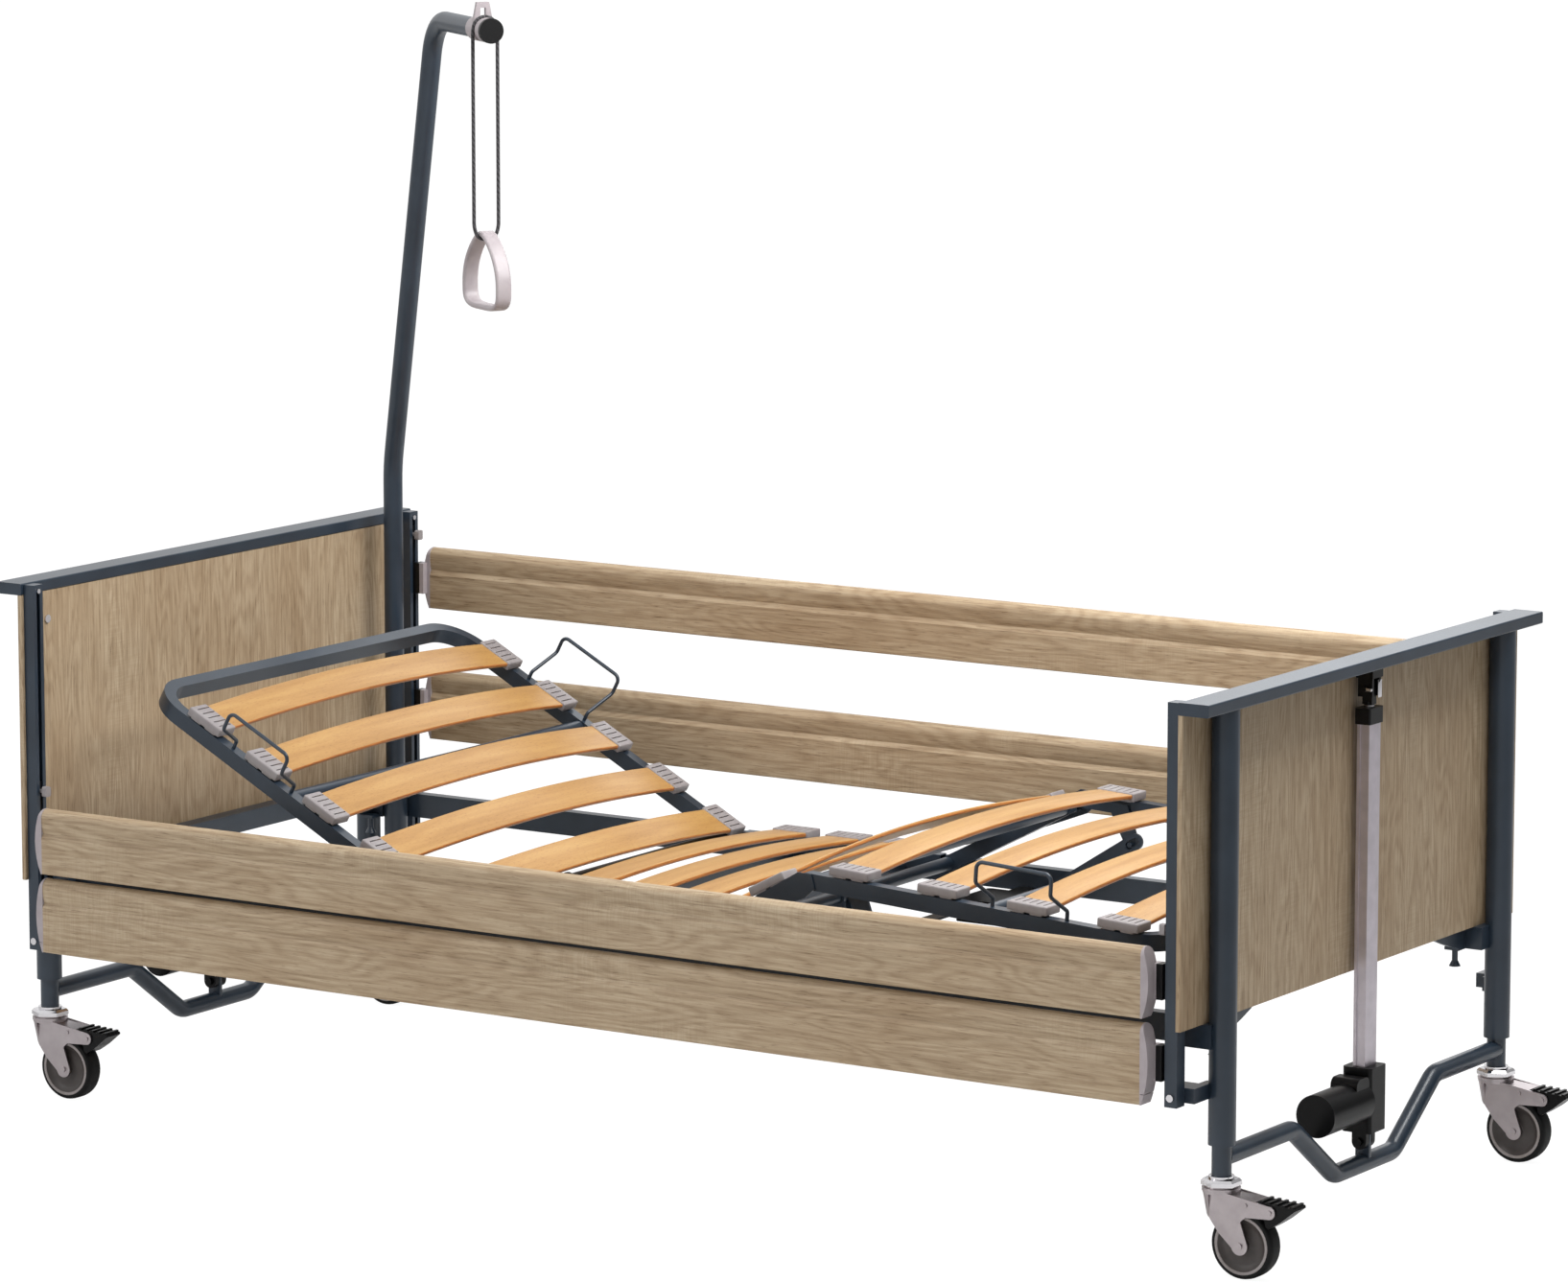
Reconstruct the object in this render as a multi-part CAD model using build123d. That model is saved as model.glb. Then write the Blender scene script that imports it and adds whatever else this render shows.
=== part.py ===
from build123d import *
from math import atan2, cos, degrees, hypot, pi, radians, sin, tan
import os

# Adjustable home-care bed: a slatted lying surface in four sections, hung between two lifting
# end frames on casters, with two-board side rails and a trapeze pole.
# Everything is in millimetres. X runs from the head end to the foot end, Y across, Z up from the
# floor. The model is drawn about the middle of the bed and moved by CENTRE_X when it is written.

# ---------------------------------------------------------------- driving dimensions
BED_LENGTH = 2180.0          # over the two cap rails
CAP_DEPTH = 50.0             # cap rail, along the bed
CAP_HEIGHT = 18.5
END_HEIGHT = 838.0           # floor to the top of the cap rails, lowest position
END_HALF_WIDTH = 518.5
PANEL_THICKNESS = 8.0
PANEL_BOTTOM = 366.0
POST_DEPTH = 20.0            # guide posts for the side boards
POST_INNER_Y = 489.0
POST_OUTER_Y = 512.0
POST_WALL = 2.0
POST_BOTTOM = 254.0
SLOT_Y = (496.5, 504.5)      # the slot that faces the other end of the bed
COLUMN_Y = 429.4
COLUMN_RADIUS = 20.0
COLUMN_WALL = 2.0
COLUMN_BOTTOM = 190.0
LEG_RADIUS = 14.5            # the tube that telescopes inside a column
LEG_TOP = 790.0
RAIL_TOP = 371.0             # main side rails
RAIL_BOTTOM = 331.0
RAIL_INNER_Y = 414.0
RAIL_OUTER_Y = 434.0
CROSS_TUBE_DEPTH = 28.0
CROSS_TUBE_HEIGHT = 32.0
GUSSET_INNER_Y = 270.0       # the gussets under the end tubes reach in to here
CROSS_TUBE_X = (-215.0, 0.0)  # tubes under the seat that carry the two drives
SECTION_HALF_WIDTH = 411.0   # outside of the section frames and of the slat caps
TUBE_WIDTH = 20.0            # section frame tube
TUBE_HEIGHT = 25.0
TUBE_WALL = 1.5
PIVOT_Z = 365.5              # hinge height, the middle of the section tubes when they lie flat
BACK_PIVOT_X = -318.2
THIGH_PIVOT_X = 106.5
THIGH_LENGTH = 277.0         # hinge to knee
BACK_END = 640.0             # hinge to the far edge of the back frame
CALF_END = 596.0             # knee to the far edge of the calf frame
BACK_ANGLE = 28.0            # stored pose
THIGH_ANGLE = 27.5
CALF_DROOP = 3.4
BACK_SLATS = [17.7, 142.9, 268.0, 393.2, 518.4]
THIGH_SLATS = [80.0, 209.0]
CALF_SLATS = [72.0, 225.0, 378.0, 530.0]
SEAT_SLATS = [-181.0, -80.0, 20.0]
SLAT_WIDTH = 62.0
SLAT_THICKNESS = 7.0
SLAT_RISE = 20.0             # height of the arch
CAP_WIDTH = 68.0             # slat holder, along the bed
CAP_REACH = 40.0
CAP_TOP = 28.8               # above the middle of the tube
BOW_WIRE = 3.0               # mattress bow, wire radius
BOW_REACH = 52.0
BOW_HEIGHT = 76.0
BOARD_INNER_Y = 508.0
BOARD_OUTER_Y = 536.0
BOARD_HALF_LENGTH = 993.0
UPPER_HEIGHT = 103.0
GROOVE_DROP = 38.0           # groove in the boards' faces, below their top
GROOVE_DEPTH = 4.0
CAP_BULGE = 13.0             # thickness of the boards' end caps in the middle
LOWER_HEIGHT = 117.0
UPPER_DOWN_Z = 383.0         # bottom edge of the upper board, side lowered
LOWER_DOWN_Z = 258.0
UPPER_TRAVEL = 289.0
LOWER_TRAVEL = 190.0
POLE_X, POLE_Y = -985.0, 394.0
POLE_RADIUS = 16.0
POLE_BEND_Z = 928.0
ARM_Z = 1689.0
ARM_RISE_REACH = 265.0
ARM_REACH = 572.0
ARM_HEADING = -37.4          # plan direction of the arm, degrees from +X
GRIP_X = 537.0               # where the cord hangs, along the arm
CORD_RADIUS = 3.0
CORD_HALF_GAP = 20.3
EYE_Z = 1357.0
WHEEL_RADIUS = 50.0
WHEEL_WIDTH = 32.0
TRAIL = 41.0                 # caster offset
PEDAL_REACH = 128.0
LEVER = 80.0                 # height of each lift lever's pin below its hinge
DRIVE_Y = 70.0               # the two drives lie side by side

CAP_OUTER_X = BED_LENGTH / 2
PANEL_INNER_X = CAP_OUTER_X - CAP_DEPTH
PANEL_OUTER_X = PANEL_INNER_X + PANEL_THICKNESS
COLUMN_X = PANEL_OUTER_X + COLUMN_RADIUS
POST_X = PANEL_INNER_X - POST_DEPTH
END_TUBE_X = PANEL_INNER_X - 5.0
COLLAR_RADIUS = 29.5
LOWEST_X = -COLUMN_X - COLLAR_RADIUS
CENTRE_X = (COLUMN_X + PEDAL_REACH + LOWEST_X) / 2
TUBE_INNER_Y = SECTION_HALF_WIDTH - TUBE_WIDTH
DRIVE_Z = PIVOT_Z - LEVER


# ---------------------------------------------------------------- helpers
def block(x, y, z):
    """Box between two X, two Y and two Z values."""
    size = [abs(high - low) for low, high in (x, y, z)]
    middle = [(low + high) / 2 for low, high in (x, y, z)]
    return Pos(*middle) * Box(*size)


def rod_x(x, y, z, radius):
    return Pos((x[0] + x[1]) / 2, y, z) * Rot(0, 90, 0) * Cylinder(radius, abs(x[1] - x[0]))


def rod_y(x, y, z, radius):
    return Pos(x, (y[0] + y[1]) / 2, z) * Rot(90, 0, 0) * Cylinder(radius, abs(y[1] - y[0]))


def rod_z(x, y, z, radius):
    return Pos(x, y, (z[0] + z[1]) / 2) * Cylinder(radius, abs(z[1] - z[0]))


def box_tube(x, y, z, wall, along):
    """Rectangular tube, open at both ends of the axis it runs along."""
    spans = []
    for axis, (low, high) in zip("xyz", (x, y, z)):
        inset = -1.0 if axis == along else wall
        spans.append((low + inset, high - inset))
    return block(x, y, z) - block(*spans)


def both_sides(*shapes):
    """The shapes and their mirror images across the bed's long middle plane."""
    return [copy for shape in shapes for copy in (shape, mirror(shape, Plane.XZ))]


def save(node, *shapes):
    """Write one node, moved so that the origin is under the middle of the whole bed."""
    shift = Location((-CENTRE_X, 0, 0))
    solids = [solid.moved(shift) for shape in shapes for solid in shape.solids()]
    export_step(Compound(children=solids), f"parts/{node}.step")


def at_hinge(x, z, angle):
    """Place a section drawn flat, with +X away from its hinge: angle raises its far end."""
    return Location((x, 0, z)) * Location((0, 0, 0), (0, -angle, 0))


def at_back(angle=BACK_ANGLE):
    turned = Location((0, 0, 0), (0, angle, 0)) * Location((0, 0, 0), (0, 0, 180))
    return Location((BACK_PIVOT_X, 0, PIVOT_Z)) * turned


KNEE_X = THIGH_PIVOT_X + THIGH_LENGTH * cos(radians(THIGH_ANGLE))
KNEE_Z = PIVOT_Z + THIGH_LENGTH * sin(radians(THIGH_ANGLE))
AT_THIGH = at_hinge(THIGH_PIVOT_X, PIVOT_Z, THIGH_ANGLE)
AT_CALF = at_hinge(KNEE_X, KNEE_Z, -CALF_DROOP)
AT_BACK = at_back()
AT_SEAT = Location((0, 0, PIVOT_Z))


# ---------------------------------------------------------------- end frames
def cap_rail(end):
    """Flat steel tube along the top of an end, closed by a plug at each side of the bed."""
    x = sorted((end * PANEL_INNER_X, end * CAP_OUTER_X))
    z = (END_HEIGHT - CAP_HEIGHT, END_HEIGHT)
    rail = block(x, (-END_HALF_WIDTH, END_HALF_WIDTH), z)
    rail = fillet(rail.edges().filter_by(Axis.Y), 2.5)
    hollow = block((x[0] + 2, x[1] - 2), (-END_HALF_WIDTH - 1, END_HALF_WIDTH + 1), (z[0] + 2, z[1] - 2))
    plug = block((x[0] + 2, x[1] - 2), (END_HALF_WIDTH - 6, END_HALF_WIDTH), (z[0] + 2, z[1] - 2))
    return [rail - hollow] + both_sides(plug)


def end_panel(end):
    x = sorted((end * PANEL_INNER_X, end * PANEL_OUTER_X))
    panel = block(x, (-END_HALF_WIDTH + 0.5, END_HALF_WIDTH - 0.5), (PANEL_BOTTOM, END_HEIGHT - CAP_HEIGHT))
    return chamfer(panel.edges().filter_by(Axis.Z), 1.0)


def column(end):
    """Outer lifting tube with the plastic glide ring pressed into its lower mouth."""
    inner = COLUMN_RADIUS - COLUMN_WALL
    top = END_HEIGHT - CAP_HEIGHT
    tube = rod_z(end * COLUMN_X, COLUMN_Y, (COLUMN_BOTTOM, top), COLUMN_RADIUS)
    tube -= rod_z(end * COLUMN_X, COLUMN_Y, (COLUMN_BOTTOM - 1, top + 1), inner)
    glide = rod_z(end * COLUMN_X, COLUMN_Y, (COLUMN_BOTTOM, COLUMN_BOTTOM + 40), inner)
    glide -= rod_z(end * COLUMN_X, COLUMN_Y, (COLUMN_BOTTOM - 1, COLUMN_BOTTOM + 41), LEG_RADIUS + 0.3)
    return both_sides(tube, glide)


def guide_post(end):
    """Channel with a slot towards the middle of the bed, in which the board sliders run."""
    z = (POST_BOTTOM, END_HEIGHT - 2.0)
    x = sorted((end * POST_X, end * PANEL_INNER_X))
    channel = block(x, (POST_INNER_Y, POST_OUTER_Y), z)
    hollow_x = sorted((end * (POST_X + POST_WALL), end * (PANEL_INNER_X - POST_WALL)))
    hollow_y = (POST_INNER_Y + POST_WALL, POST_OUTER_Y - POST_WALL)
    channel -= block(hollow_x, hollow_y, (z[0] - 1, z[1] - POST_WALL))
    slot_x = sorted((end * (POST_X - 1), end * (POST_X + POST_WALL + 1)))
    channel -= block(slot_x, SLOT_Y, (z[0] - 1, z[1] - 6))
    return both_sides(channel)


# ---------------------------------------------------------------- main frame
def saddle(end):
    """Bracket under the end cross tube to a column and to the guide post beside it."""
    pad_x = sorted((end * (END_TUBE_X - CROSS_TUBE_DEPTH + 0.5), end * (COLUMN_X - 6)))
    pad = block(pad_x, (386, 454), (RAIL_BOTTOM, PANEL_BOTTOM))
    column_space = rod_z(end * COLUMN_X, COLUMN_Y, (RAIL_BOTTOM - 1, RAIL_TOP), COLUMN_RADIUS)
    strap_z = (POST_BOTTOM + 4, POST_BOTTOM + 26)
    strap = block(sorted((end * POST_X, end * (COLUMN_X - 12))), (452, POST_INNER_Y), strap_z)
    strap += block(sorted((end * (COLUMN_X - 26), end * (COLUMN_X - 12))), (COLUMN_Y, 453), strap_z)
    wide_space = rod_z(end * COLUMN_X, COLUMN_Y, (POST_BOTTOM, RAIL_BOTTOM), COLUMN_RADIUS)
    curve = ThreePointArc((GUSSET_INNER_Y, PANEL_BOTTOM), (340, RAIL_BOTTOM + 10), (387, RAIL_BOTTOM))
    corner = (387, PANEL_BOTTOM)
    sides = [Line((387, RAIL_BOTTOM), corner), Line(corner, (GUSSET_INNER_Y, PANEL_BOTTOM))]
    gusset = extrude(Plane.YZ.offset(end * END_TUBE_X) * make_face([curve] + sides), -end * 5.0)
    knob_x = end * (END_TUBE_X - 12)
    washer_x = sorted((end * (END_TUBE_X - 24), end * END_TUBE_X))
    knob = block(washer_x, (362, 388), (RAIL_BOTTOM, RAIL_BOTTOM + 5))
    knob += rod_z(knob_x, 374, (RAIL_BOTTOM - 22, RAIL_BOTTOM + 1), 4.5)
    knob += Pos(knob_x, 374, RAIL_BOTTOM - 22) * Cone(9, 5, 8)
    return both_sides(pad + gusset + knob - column_space, strap - wide_space)


def trapeze_socket():
    sleeve = rod_z(POLE_X, POLE_Y, (262, 392), POLE_RADIUS + 3.5)
    bore = rod_z(POLE_X, POLE_Y, (270, 393), POLE_RADIUS + 0.3)
    return both_sides(sleeve - bore)


def hinge_boss(x, z, radius, reach=RAIL_INNER_Y):
    """Pin that stands inward from a main rail through a section's hinge block."""
    return both_sides(rod_y(x, (TUBE_INNER_Y + 1, reach), z, radius))


def main_frame():
    """Side rails, end tubes hidden behind the panels, seat tubes, hinge pins and sockets."""
    half = END_TUBE_X - CROSS_TUBE_DEPTH
    rail_z = (RAIL_BOTTOM, RAIL_TOP)
    parts = both_sides(box_tube((-half, half), (RAIL_INNER_Y, RAIL_OUTER_Y), rail_z, 2.0, "x"))
    end_z = (PANEL_BOTTOM, PANEL_BOTTOM + CROSS_TUBE_HEIGHT)
    for end in (-1, 1):
        x = sorted((end * half, end * END_TUBE_X))
        parts.append(box_tube(x, (-POST_INNER_Y, POST_INNER_Y), end_z, 2.0, "y"))
        parts += saddle(end)
    seat_floor = PIVOT_Z - TUBE_HEIGHT / 2
    for x in CROSS_TUBE_X:
        wide = (x - 15, x + 15)
        parts.append(box_tube(wide, (-RAIL_INNER_Y, RAIL_INNER_Y), (RAIL_BOTTOM, seat_floor), 2.0, "y"))
    seat_z = (seat_floor, PIVOT_Z + TUBE_HEIGHT / 2)
    seat_x = (BACK_PIVOT_X + 34, THIGH_PIVOT_X - 15)
    parts += both_sides(box_tube(seat_x, (TUBE_INNER_Y, SECTION_HALF_WIDTH), seat_z, TUBE_WALL, "x"))
    parts += hinge_boss(BACK_PIVOT_X, PIVOT_Z, 6.0)
    parts += hinge_boss(THIGH_PIVOT_X, PIVOT_Z, 6.0)
    parts += both_sides(rod_y(STRUT_FOOT[0], (STRUT_Y[1] + 1, RAIL_INNER_Y), STRUT_FOOT[1], 9.0)
                        + rod_y(STRUT_FOOT[0], (STRUT_Y[0] - 2, STRUT_Y[1] + 2), STRUT_FOOT[1], 5.0))
    parts += trapeze_socket()
    return parts


# ---------------------------------------------------------------- section frames
def rounded_end(length, corner_radius):
    """Sketch of a U-shaped frame: open at its hinge, with rounded corners at the far end."""
    half = SECTION_HALF_WIDTH
    outer = Pos(length / 2, 0) * Rectangle(length, 2 * half)
    outer = fillet(outer.vertices().group_by(Axis.X)[-1], corner_radius)
    inner_length = length - TUBE_WIDTH
    inner = Pos(inner_length / 2 - 1, 0) * Rectangle(inner_length + 2, 2 * (half - TUBE_WIDTH))
    inner = fillet(inner.vertices().group_by(Axis.X)[-1], corner_radius - TUBE_WIDTH)
    return outer - inner


def rounded_cavity(length, corner_radius):
    half = SECTION_HALF_WIDTH - TUBE_WALL
    outer = Pos((length - TUBE_WALL + 40) / 2, 0) * Rectangle(length - TUBE_WALL - 40, 2 * half)
    outer = fillet(outer.vertices().group_by(Axis.X)[-1], corner_radius - TUBE_WALL)
    inner_length = length - TUBE_WIDTH + TUBE_WALL
    inner = Pos(inner_length / 2 - 1, 0) * Rectangle(inner_length + 2, 2 * (TUBE_INNER_Y + TUBE_WALL))
    inner = fillet(inner.vertices().group_by(Axis.X)[-1], corner_radius - TUBE_WIDTH + TUBE_WALL)
    return outer - inner


def u_frame(length, corner_radius=72.0, pin_radius=6.1):
    """Bent section tube with a bored, rounded block at each hinge end."""
    frame = extrude(rounded_end(length, corner_radius), TUBE_HEIGHT / 2, both=True)
    frame -= extrude(rounded_cavity(length, corner_radius), TUBE_HEIGHT / 2 - TUBE_WALL, both=True)
    for side in (-1, 1):
        y = sorted((side * TUBE_INNER_Y, side * SECTION_HALF_WIDTH))
        frame += rod_y(0, y, 0, TUBE_HEIGHT / 2)
        frame -= rod_y(0, (y[0] - 1, y[1] + 1), 0, pin_radius)
    return frame


def cross_tube(x, z=0.0):
    """Round tube across a section, between its side tubes."""
    tube = rod_y(x, (-TUBE_INNER_Y, TUBE_INNER_Y), z, 11.0)
    return tube - rod_y(x, (-TUBE_INNER_Y - 1, TUBE_INNER_Y + 1), z, 9.5)


def lever(side, lean):
    """Pair of slotted plates below a hinge: the drive rod's cross pin runs in the slot."""
    tip = 112.0
    plates = []
    for offset in (-11.5, 6.5):
        y = side * DRIVE_Y + offset
        plate = block((-13, 13), (y, y + 5), (-tip + 13, 0)) + rod_y(0, (y, y + 5), -tip + 13, 13)
        plate += rod_y(0, (y, y + 5), 0, 15)
        slot = block((-8.2, 8.2), (y - 1, y + 6), (-99, -78)) + rod_y(0, (y - 1, y + 6), -78, 8.2)
        slot += rod_y(0, (y - 1, y + 6), -99, 8.2)
        clear = rod_y(0, (y - 1, y + 6), 0, 11.0)
        plates.append(Location((0, 0, 0), (0, lean, 0)) * (plate - slot - clear))
    return plates


def back_frame():
    parts = [u_frame(BACK_END), cross_tube(0), cross_tube(330.0)]
    parts += lever(1, 35.0)
    return [AT_BACK * part for part in parts]


def thigh_frame():
    parts = []
    reach = THIGH_LENGTH - 15.0
    for side in (-1, 1):
        y = sorted((side * TUBE_INNER_Y, side * SECTION_HALF_WIDTH))
        z = (-TUBE_HEIGHT / 2, TUBE_HEIGHT / 2)
        tube = block((0, reach), y, z) + rod_y(0, y, 0, TUBE_HEIGHT / 2)
        hollow_y, hollow_z = [(low + TUBE_WALL, high - TUBE_WALL) for low, high in (y, z)]
        tube -= block((40, reach + 1), hollow_y, hollow_z)
        tube -= rod_y(0, (y[0] - 1, y[1] + 1), 0, 6.1)
        parts.append(tube)
        parts.append(knee_plate(side))
    parts += [cross_tube(0), cross_tube(240.0)]
    parts += lever(1, 17.0)
    return [AT_THIGH * part for part in parts]


def knee_plate(side):
    """Gusset on the outside of a thigh tube that carries the knee pin."""
    near, far = SECTION_HALF_WIDTH, SECTION_HALF_WIDTH + 2.4
    y = sorted((side * near, side * far))
    heel = THIGH_LENGTH - 95
    outline = Polyline((heel, 12.5), (THIGH_LENGTH - 6, 17), (THIGH_LENGTH + 14, 6), (THIGH_LENGTH + 10, -16),
                       (THIGH_LENGTH - 12, -22), (heel, -12.5), close=True)
    plate = extrude(Plane.XZ * make_face(outline), -2.4)
    plate = Pos(0, near if side > 0 else -far, 0) * plate
    skim_y = sorted((side * (near - 1), side * (near + 0.4)))
    skim = block((THIGH_LENGTH - 16, THIGH_LENGTH + 20), skim_y, (-30, 30))
    pin = rod_y(THIGH_LENGTH, sorted((side * (TUBE_INNER_Y + 1), side * far)), 0, 5.0)
    return (plate - skim) + pin


def calf_frame():
    parts = [u_frame(CALF_END, pin_radius=5.1), cross_tube(300.0)]
    apex_u, apex_v = STRUT_APEX
    for side in (-1, 1):
        y = sorted((side * (TUBE_INNER_Y - 4.5), side * TUBE_INNER_Y))
        outline = Polyline((48, 6), (86, 6), (apex_u + 12, apex_v + 4), (apex_u + 8, apex_v - 10),
                           (apex_u - 8, apex_v - 10), (apex_u - 14, apex_v), close=True)
        plate = extrude(Plane.XZ * make_face(outline), -4.5)
        plate = Pos(0, y[0], 0) * plate
        pin = rod_y(apex_u, sorted((side * (STRUT_Y[0] - 2), side * TUBE_INNER_Y - side * 1.0)), apex_v, 4.0)
        parts.append(plate + pin)
    return [AT_CALF * part for part in parts]


# the leg section's stay: a link on each side from a boss on the main rail to the calf bracket
STRUT_FOOT = (300.0, 338.0)
STRUT_APEX = (98.3, -55.7)       # in the calf section's own plane
STRUT_Y = (381.0, 385.0)


def calf_struts():
    rise = radians(-CALF_DROOP)
    apex_x = KNEE_X + STRUT_APEX[0] * cos(rise) - STRUT_APEX[1] * sin(rise)
    apex_z = KNEE_Z + STRUT_APEX[0] * sin(rise) + STRUT_APEX[1] * cos(rise)
    run = (apex_x - STRUT_FOOT[0], apex_z - STRUT_FOOT[1])
    length = hypot(*run)
    slot_start, slot_end = length - 2, length + 11
    link = block((0, slot_end), STRUT_Y, (-13, 13))
    link += rod_y(0, STRUT_Y, 0, 13) + rod_y(slot_end, STRUT_Y, 0, 13)
    wide = (STRUT_Y[0] - 1, STRUT_Y[1] + 1)
    slot = block((slot_start, slot_end), wide, (-6.5, 6.5))
    slot += rod_y(slot_start, wide, 0, 6.5) + rod_y(slot_end, wide, 0, 6.5)
    link -= slot + rod_y(0, wide, 0, 5.2)
    placed = at_hinge(STRUT_FOOT[0], STRUT_FOOT[1], degrees(atan2(run[1], run[0]))) * link
    return both_sides(placed)


# ---------------------------------------------------------------- slats and holders
def slat():
    """Arched beech slat, drawn across the bed at X = 0."""
    half = SECTION_HALF_WIDTH - 25.0
    low = CAP_TOP - 10.6
    top = low + SLAT_THICKNESS
    under = ThreePointArc((-half, low), (0, low + SLAT_RISE), (half, low))
    over = ThreePointArc((-half, top), (0, top + SLAT_RISE), (half, top))
    ends = [Line((-half, low), (-half, top)), Line((half, low), (half, top))]
    return extrude(Plane.YZ * make_face([under, over] + ends), SLAT_WIDTH / 2, both=True)


def slat_caps():
    """Plastic holders for one slat: a socket for its end and a saddle that sits on the tube."""
    inner = SECTION_HALF_WIDTH - CAP_REACH
    half = CAP_WIDTH / 2
    cap = block((-half, half), (inner, SECTION_HALF_WIDTH), (CAP_TOP - 13.8, CAP_TOP))
    cap = fillet(cap.edges().filter_by(Axis.Z), 3.0)
    socket_z = (CAP_TOP - 10.9, CAP_TOP - 1.8)
    socket_x = (-SLAT_WIDTH / 2 - 0.3, SLAT_WIDTH / 2 + 0.3)
    cap -= block(socket_x, (inner - 1, SECTION_HALF_WIDTH - 24.5), socket_z)
    cap += block((-17, 17), (inner + 4, SECTION_HALF_WIDTH), (TUBE_HEIGHT / 2, CAP_TOP - 13.0))
    return both_sides(cap)


def slat_row(place, stations):
    return [place * Pos(x, 0, 0) * slat() for x in stations]


def cap_row(place, stations):
    return [place * Pos(x, 0, 0) * cap for x in stations for cap in slat_caps()]


def mattress_bow(station):
    """Wire bow that stops the mattress sliding sideways, plugged into the section tube."""
    foot_y = SECTION_HALF_WIDTH - TUBE_WIDTH / 2
    top_y = foot_y + BOW_REACH
    floor = TUBE_HEIGHT / 2
    half = 63.0
    points = [(-half, foot_y, floor), (-half, foot_y, floor + 14), (-half, top_y, floor + 44),
              (-half, top_y, floor + BOW_HEIGHT), (half, top_y, floor + BOW_HEIGHT),
              (half, top_y, floor + 44),
              (half, foot_y, floor + 14), (half, foot_y, floor)]
    path = FilletPolyline(*points, radius=[6.0, 9.0, 11.0, 11.0, 9.0, 6.0])
    wire = sweep(Plane(path @ 0, z_dir=path % 0) * Circle(BOW_WIRE), path)
    return both_sides(Pos(station, 0, 0) * wire)


# ---------------------------------------------------------------- drives under the seat
def drive(side, push):
    """Linear drive: gear housing, motor and guide tube. push is the way its rod comes out."""
    y = side * DRIVE_Y
    hinge = BACK_PIVOT_X if push < 0 else THIGH_PIVOT_X
    mouth = hinge - push * 90.0
    tail = mouth - push * 185.0
    end = tail - push * 70.0
    tube = rod_x(sorted((mouth, tail)), y, DRIVE_Z, 17.0)
    gear = block(sorted((tail, end)), (y - 32, y + 32), (DRIVE_Z - 36, DRIVE_Z + 30))
    gear = fillet(gear.edges().filter_by(Axis.X), 8.0)
    motor = rod_x(sorted((end + push * 1.0, tail + push * 110)), y, DRIVE_Z - 62, 27.0)
    neck = block(sorted((tail, end)), (y - 26, y + 26), (DRIVE_Z - 88, DRIVE_Z - 30))
    neck = fillet(neck.edges().filter_by(Axis.X), 8.0)
    body = tube + gear + neck + motor
    for x in CROSS_TUBE_X:
        body += block((x - 11, x + 11), (y - 21, y + 21), (DRIVE_Z + 12, RAIL_BOTTOM))
    return body - rod_x(sorted((mouth + push * 1, tail - push * 58)), y, DRIVE_Z, 10.4)


def drive_rod(side, push, pin_x):
    """Steel push rod with the cross pin that runs in the lever's slot."""
    y = side * DRIVE_Y
    hinge = BACK_PIVOT_X if push < 0 else THIGH_PIVOT_X
    tail = hinge - push * 250.0
    rod = rod_x(sorted((tail, pin_x)), y, DRIVE_Z, 10.0)
    rod -= rod_x(sorted((tail - push * 1, pin_x - push * 40)), y, DRIVE_Z, 7.0)
    eye = block(sorted((pin_x - push * 8, pin_x + push * 8)), (y - 5.5, y + 5.5), (DRIVE_Z - 9, DRIVE_Z + 9))
    pin = rod_y(pin_x, (y - 14.5, y + 14.5), DRIVE_Z, 5.0)
    flat_x = sorted((pin_x - push * 34, pin_x + push * 30))
    for flat_y in ((y + 5.5, y + 30), (y - 30, y - 5.5)):
        rod -= block(flat_x, flat_y, (DRIVE_Z - 20, DRIVE_Z + 20))
    return rod + eye + pin


# ---------------------------------------------------------------- lifting ends
CRANK_HIGH = 171.0
CRANK_LOW = 78.0


def cranked_bar(end):
    """Tube between the two legs of an end, cranked down in the middle under the lift drive."""
    x = end * COLUMN_X
    reach = COLUMN_Y - LEG_RADIUS + 1.5
    points = [(x, -reach, CRANK_HIGH), (x, -222, CRANK_HIGH), (x, -92, CRANK_LOW),
              (x, 92, CRANK_LOW), (x, 222, CRANK_HIGH), (x, reach, CRANK_HIGH)]
    path = FilletPolyline(*points, radius=38.0)
    start = Plane(path @ 0, z_dir=path % 0)
    bar = sweep(start * Circle(14.0), path) - sweep(start * Circle(12.0), path)
    for side in (-1, 1):
        bar -= rod_z(x, side * COLUMN_Y, (CRANK_HIGH - 40, CRANK_HIGH + 40), LEG_RADIUS)
    return bar


def undercarriage(end):
    """Two telescoping legs, their cranked bar, the drive's clevis plate and the caster sockets."""
    x = end * COLUMN_X
    leg = rod_z(x, COLUMN_Y, (144, LEG_TOP), LEG_RADIUS)
    leg -= rod_z(x, COLUMN_Y, (160, LEG_TOP + 1), LEG_RADIUS - 2.0)
    collar = extrude(Pos(x, COLUMN_Y, 132) * RegularPolygon(COLLAR_RADIUS, 6), 9.0)
    collar = chamfer(collar.edges().group_by(Axis.Z)[-1], 3.5)
    collar += rod_z(x, COLUMN_Y, (140, 145), 18.5)
    stem = rod_z(x, COLUMN_Y, (118, 134), 8.0)
    plate = block((x - 12, x + 12), (-4, 4), (CRANK_LOW + 8, 112)) + rod_y(x, (-4, 4), 112, 12)
    plate -= rod_y(x, (-5, 5), 112, 6.2)
    plate -= rod_y(x, (-6, 6), CRANK_LOW, 14.0)
    return both_sides(leg, collar + stem) + [cranked_bar(end), plate]


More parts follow.
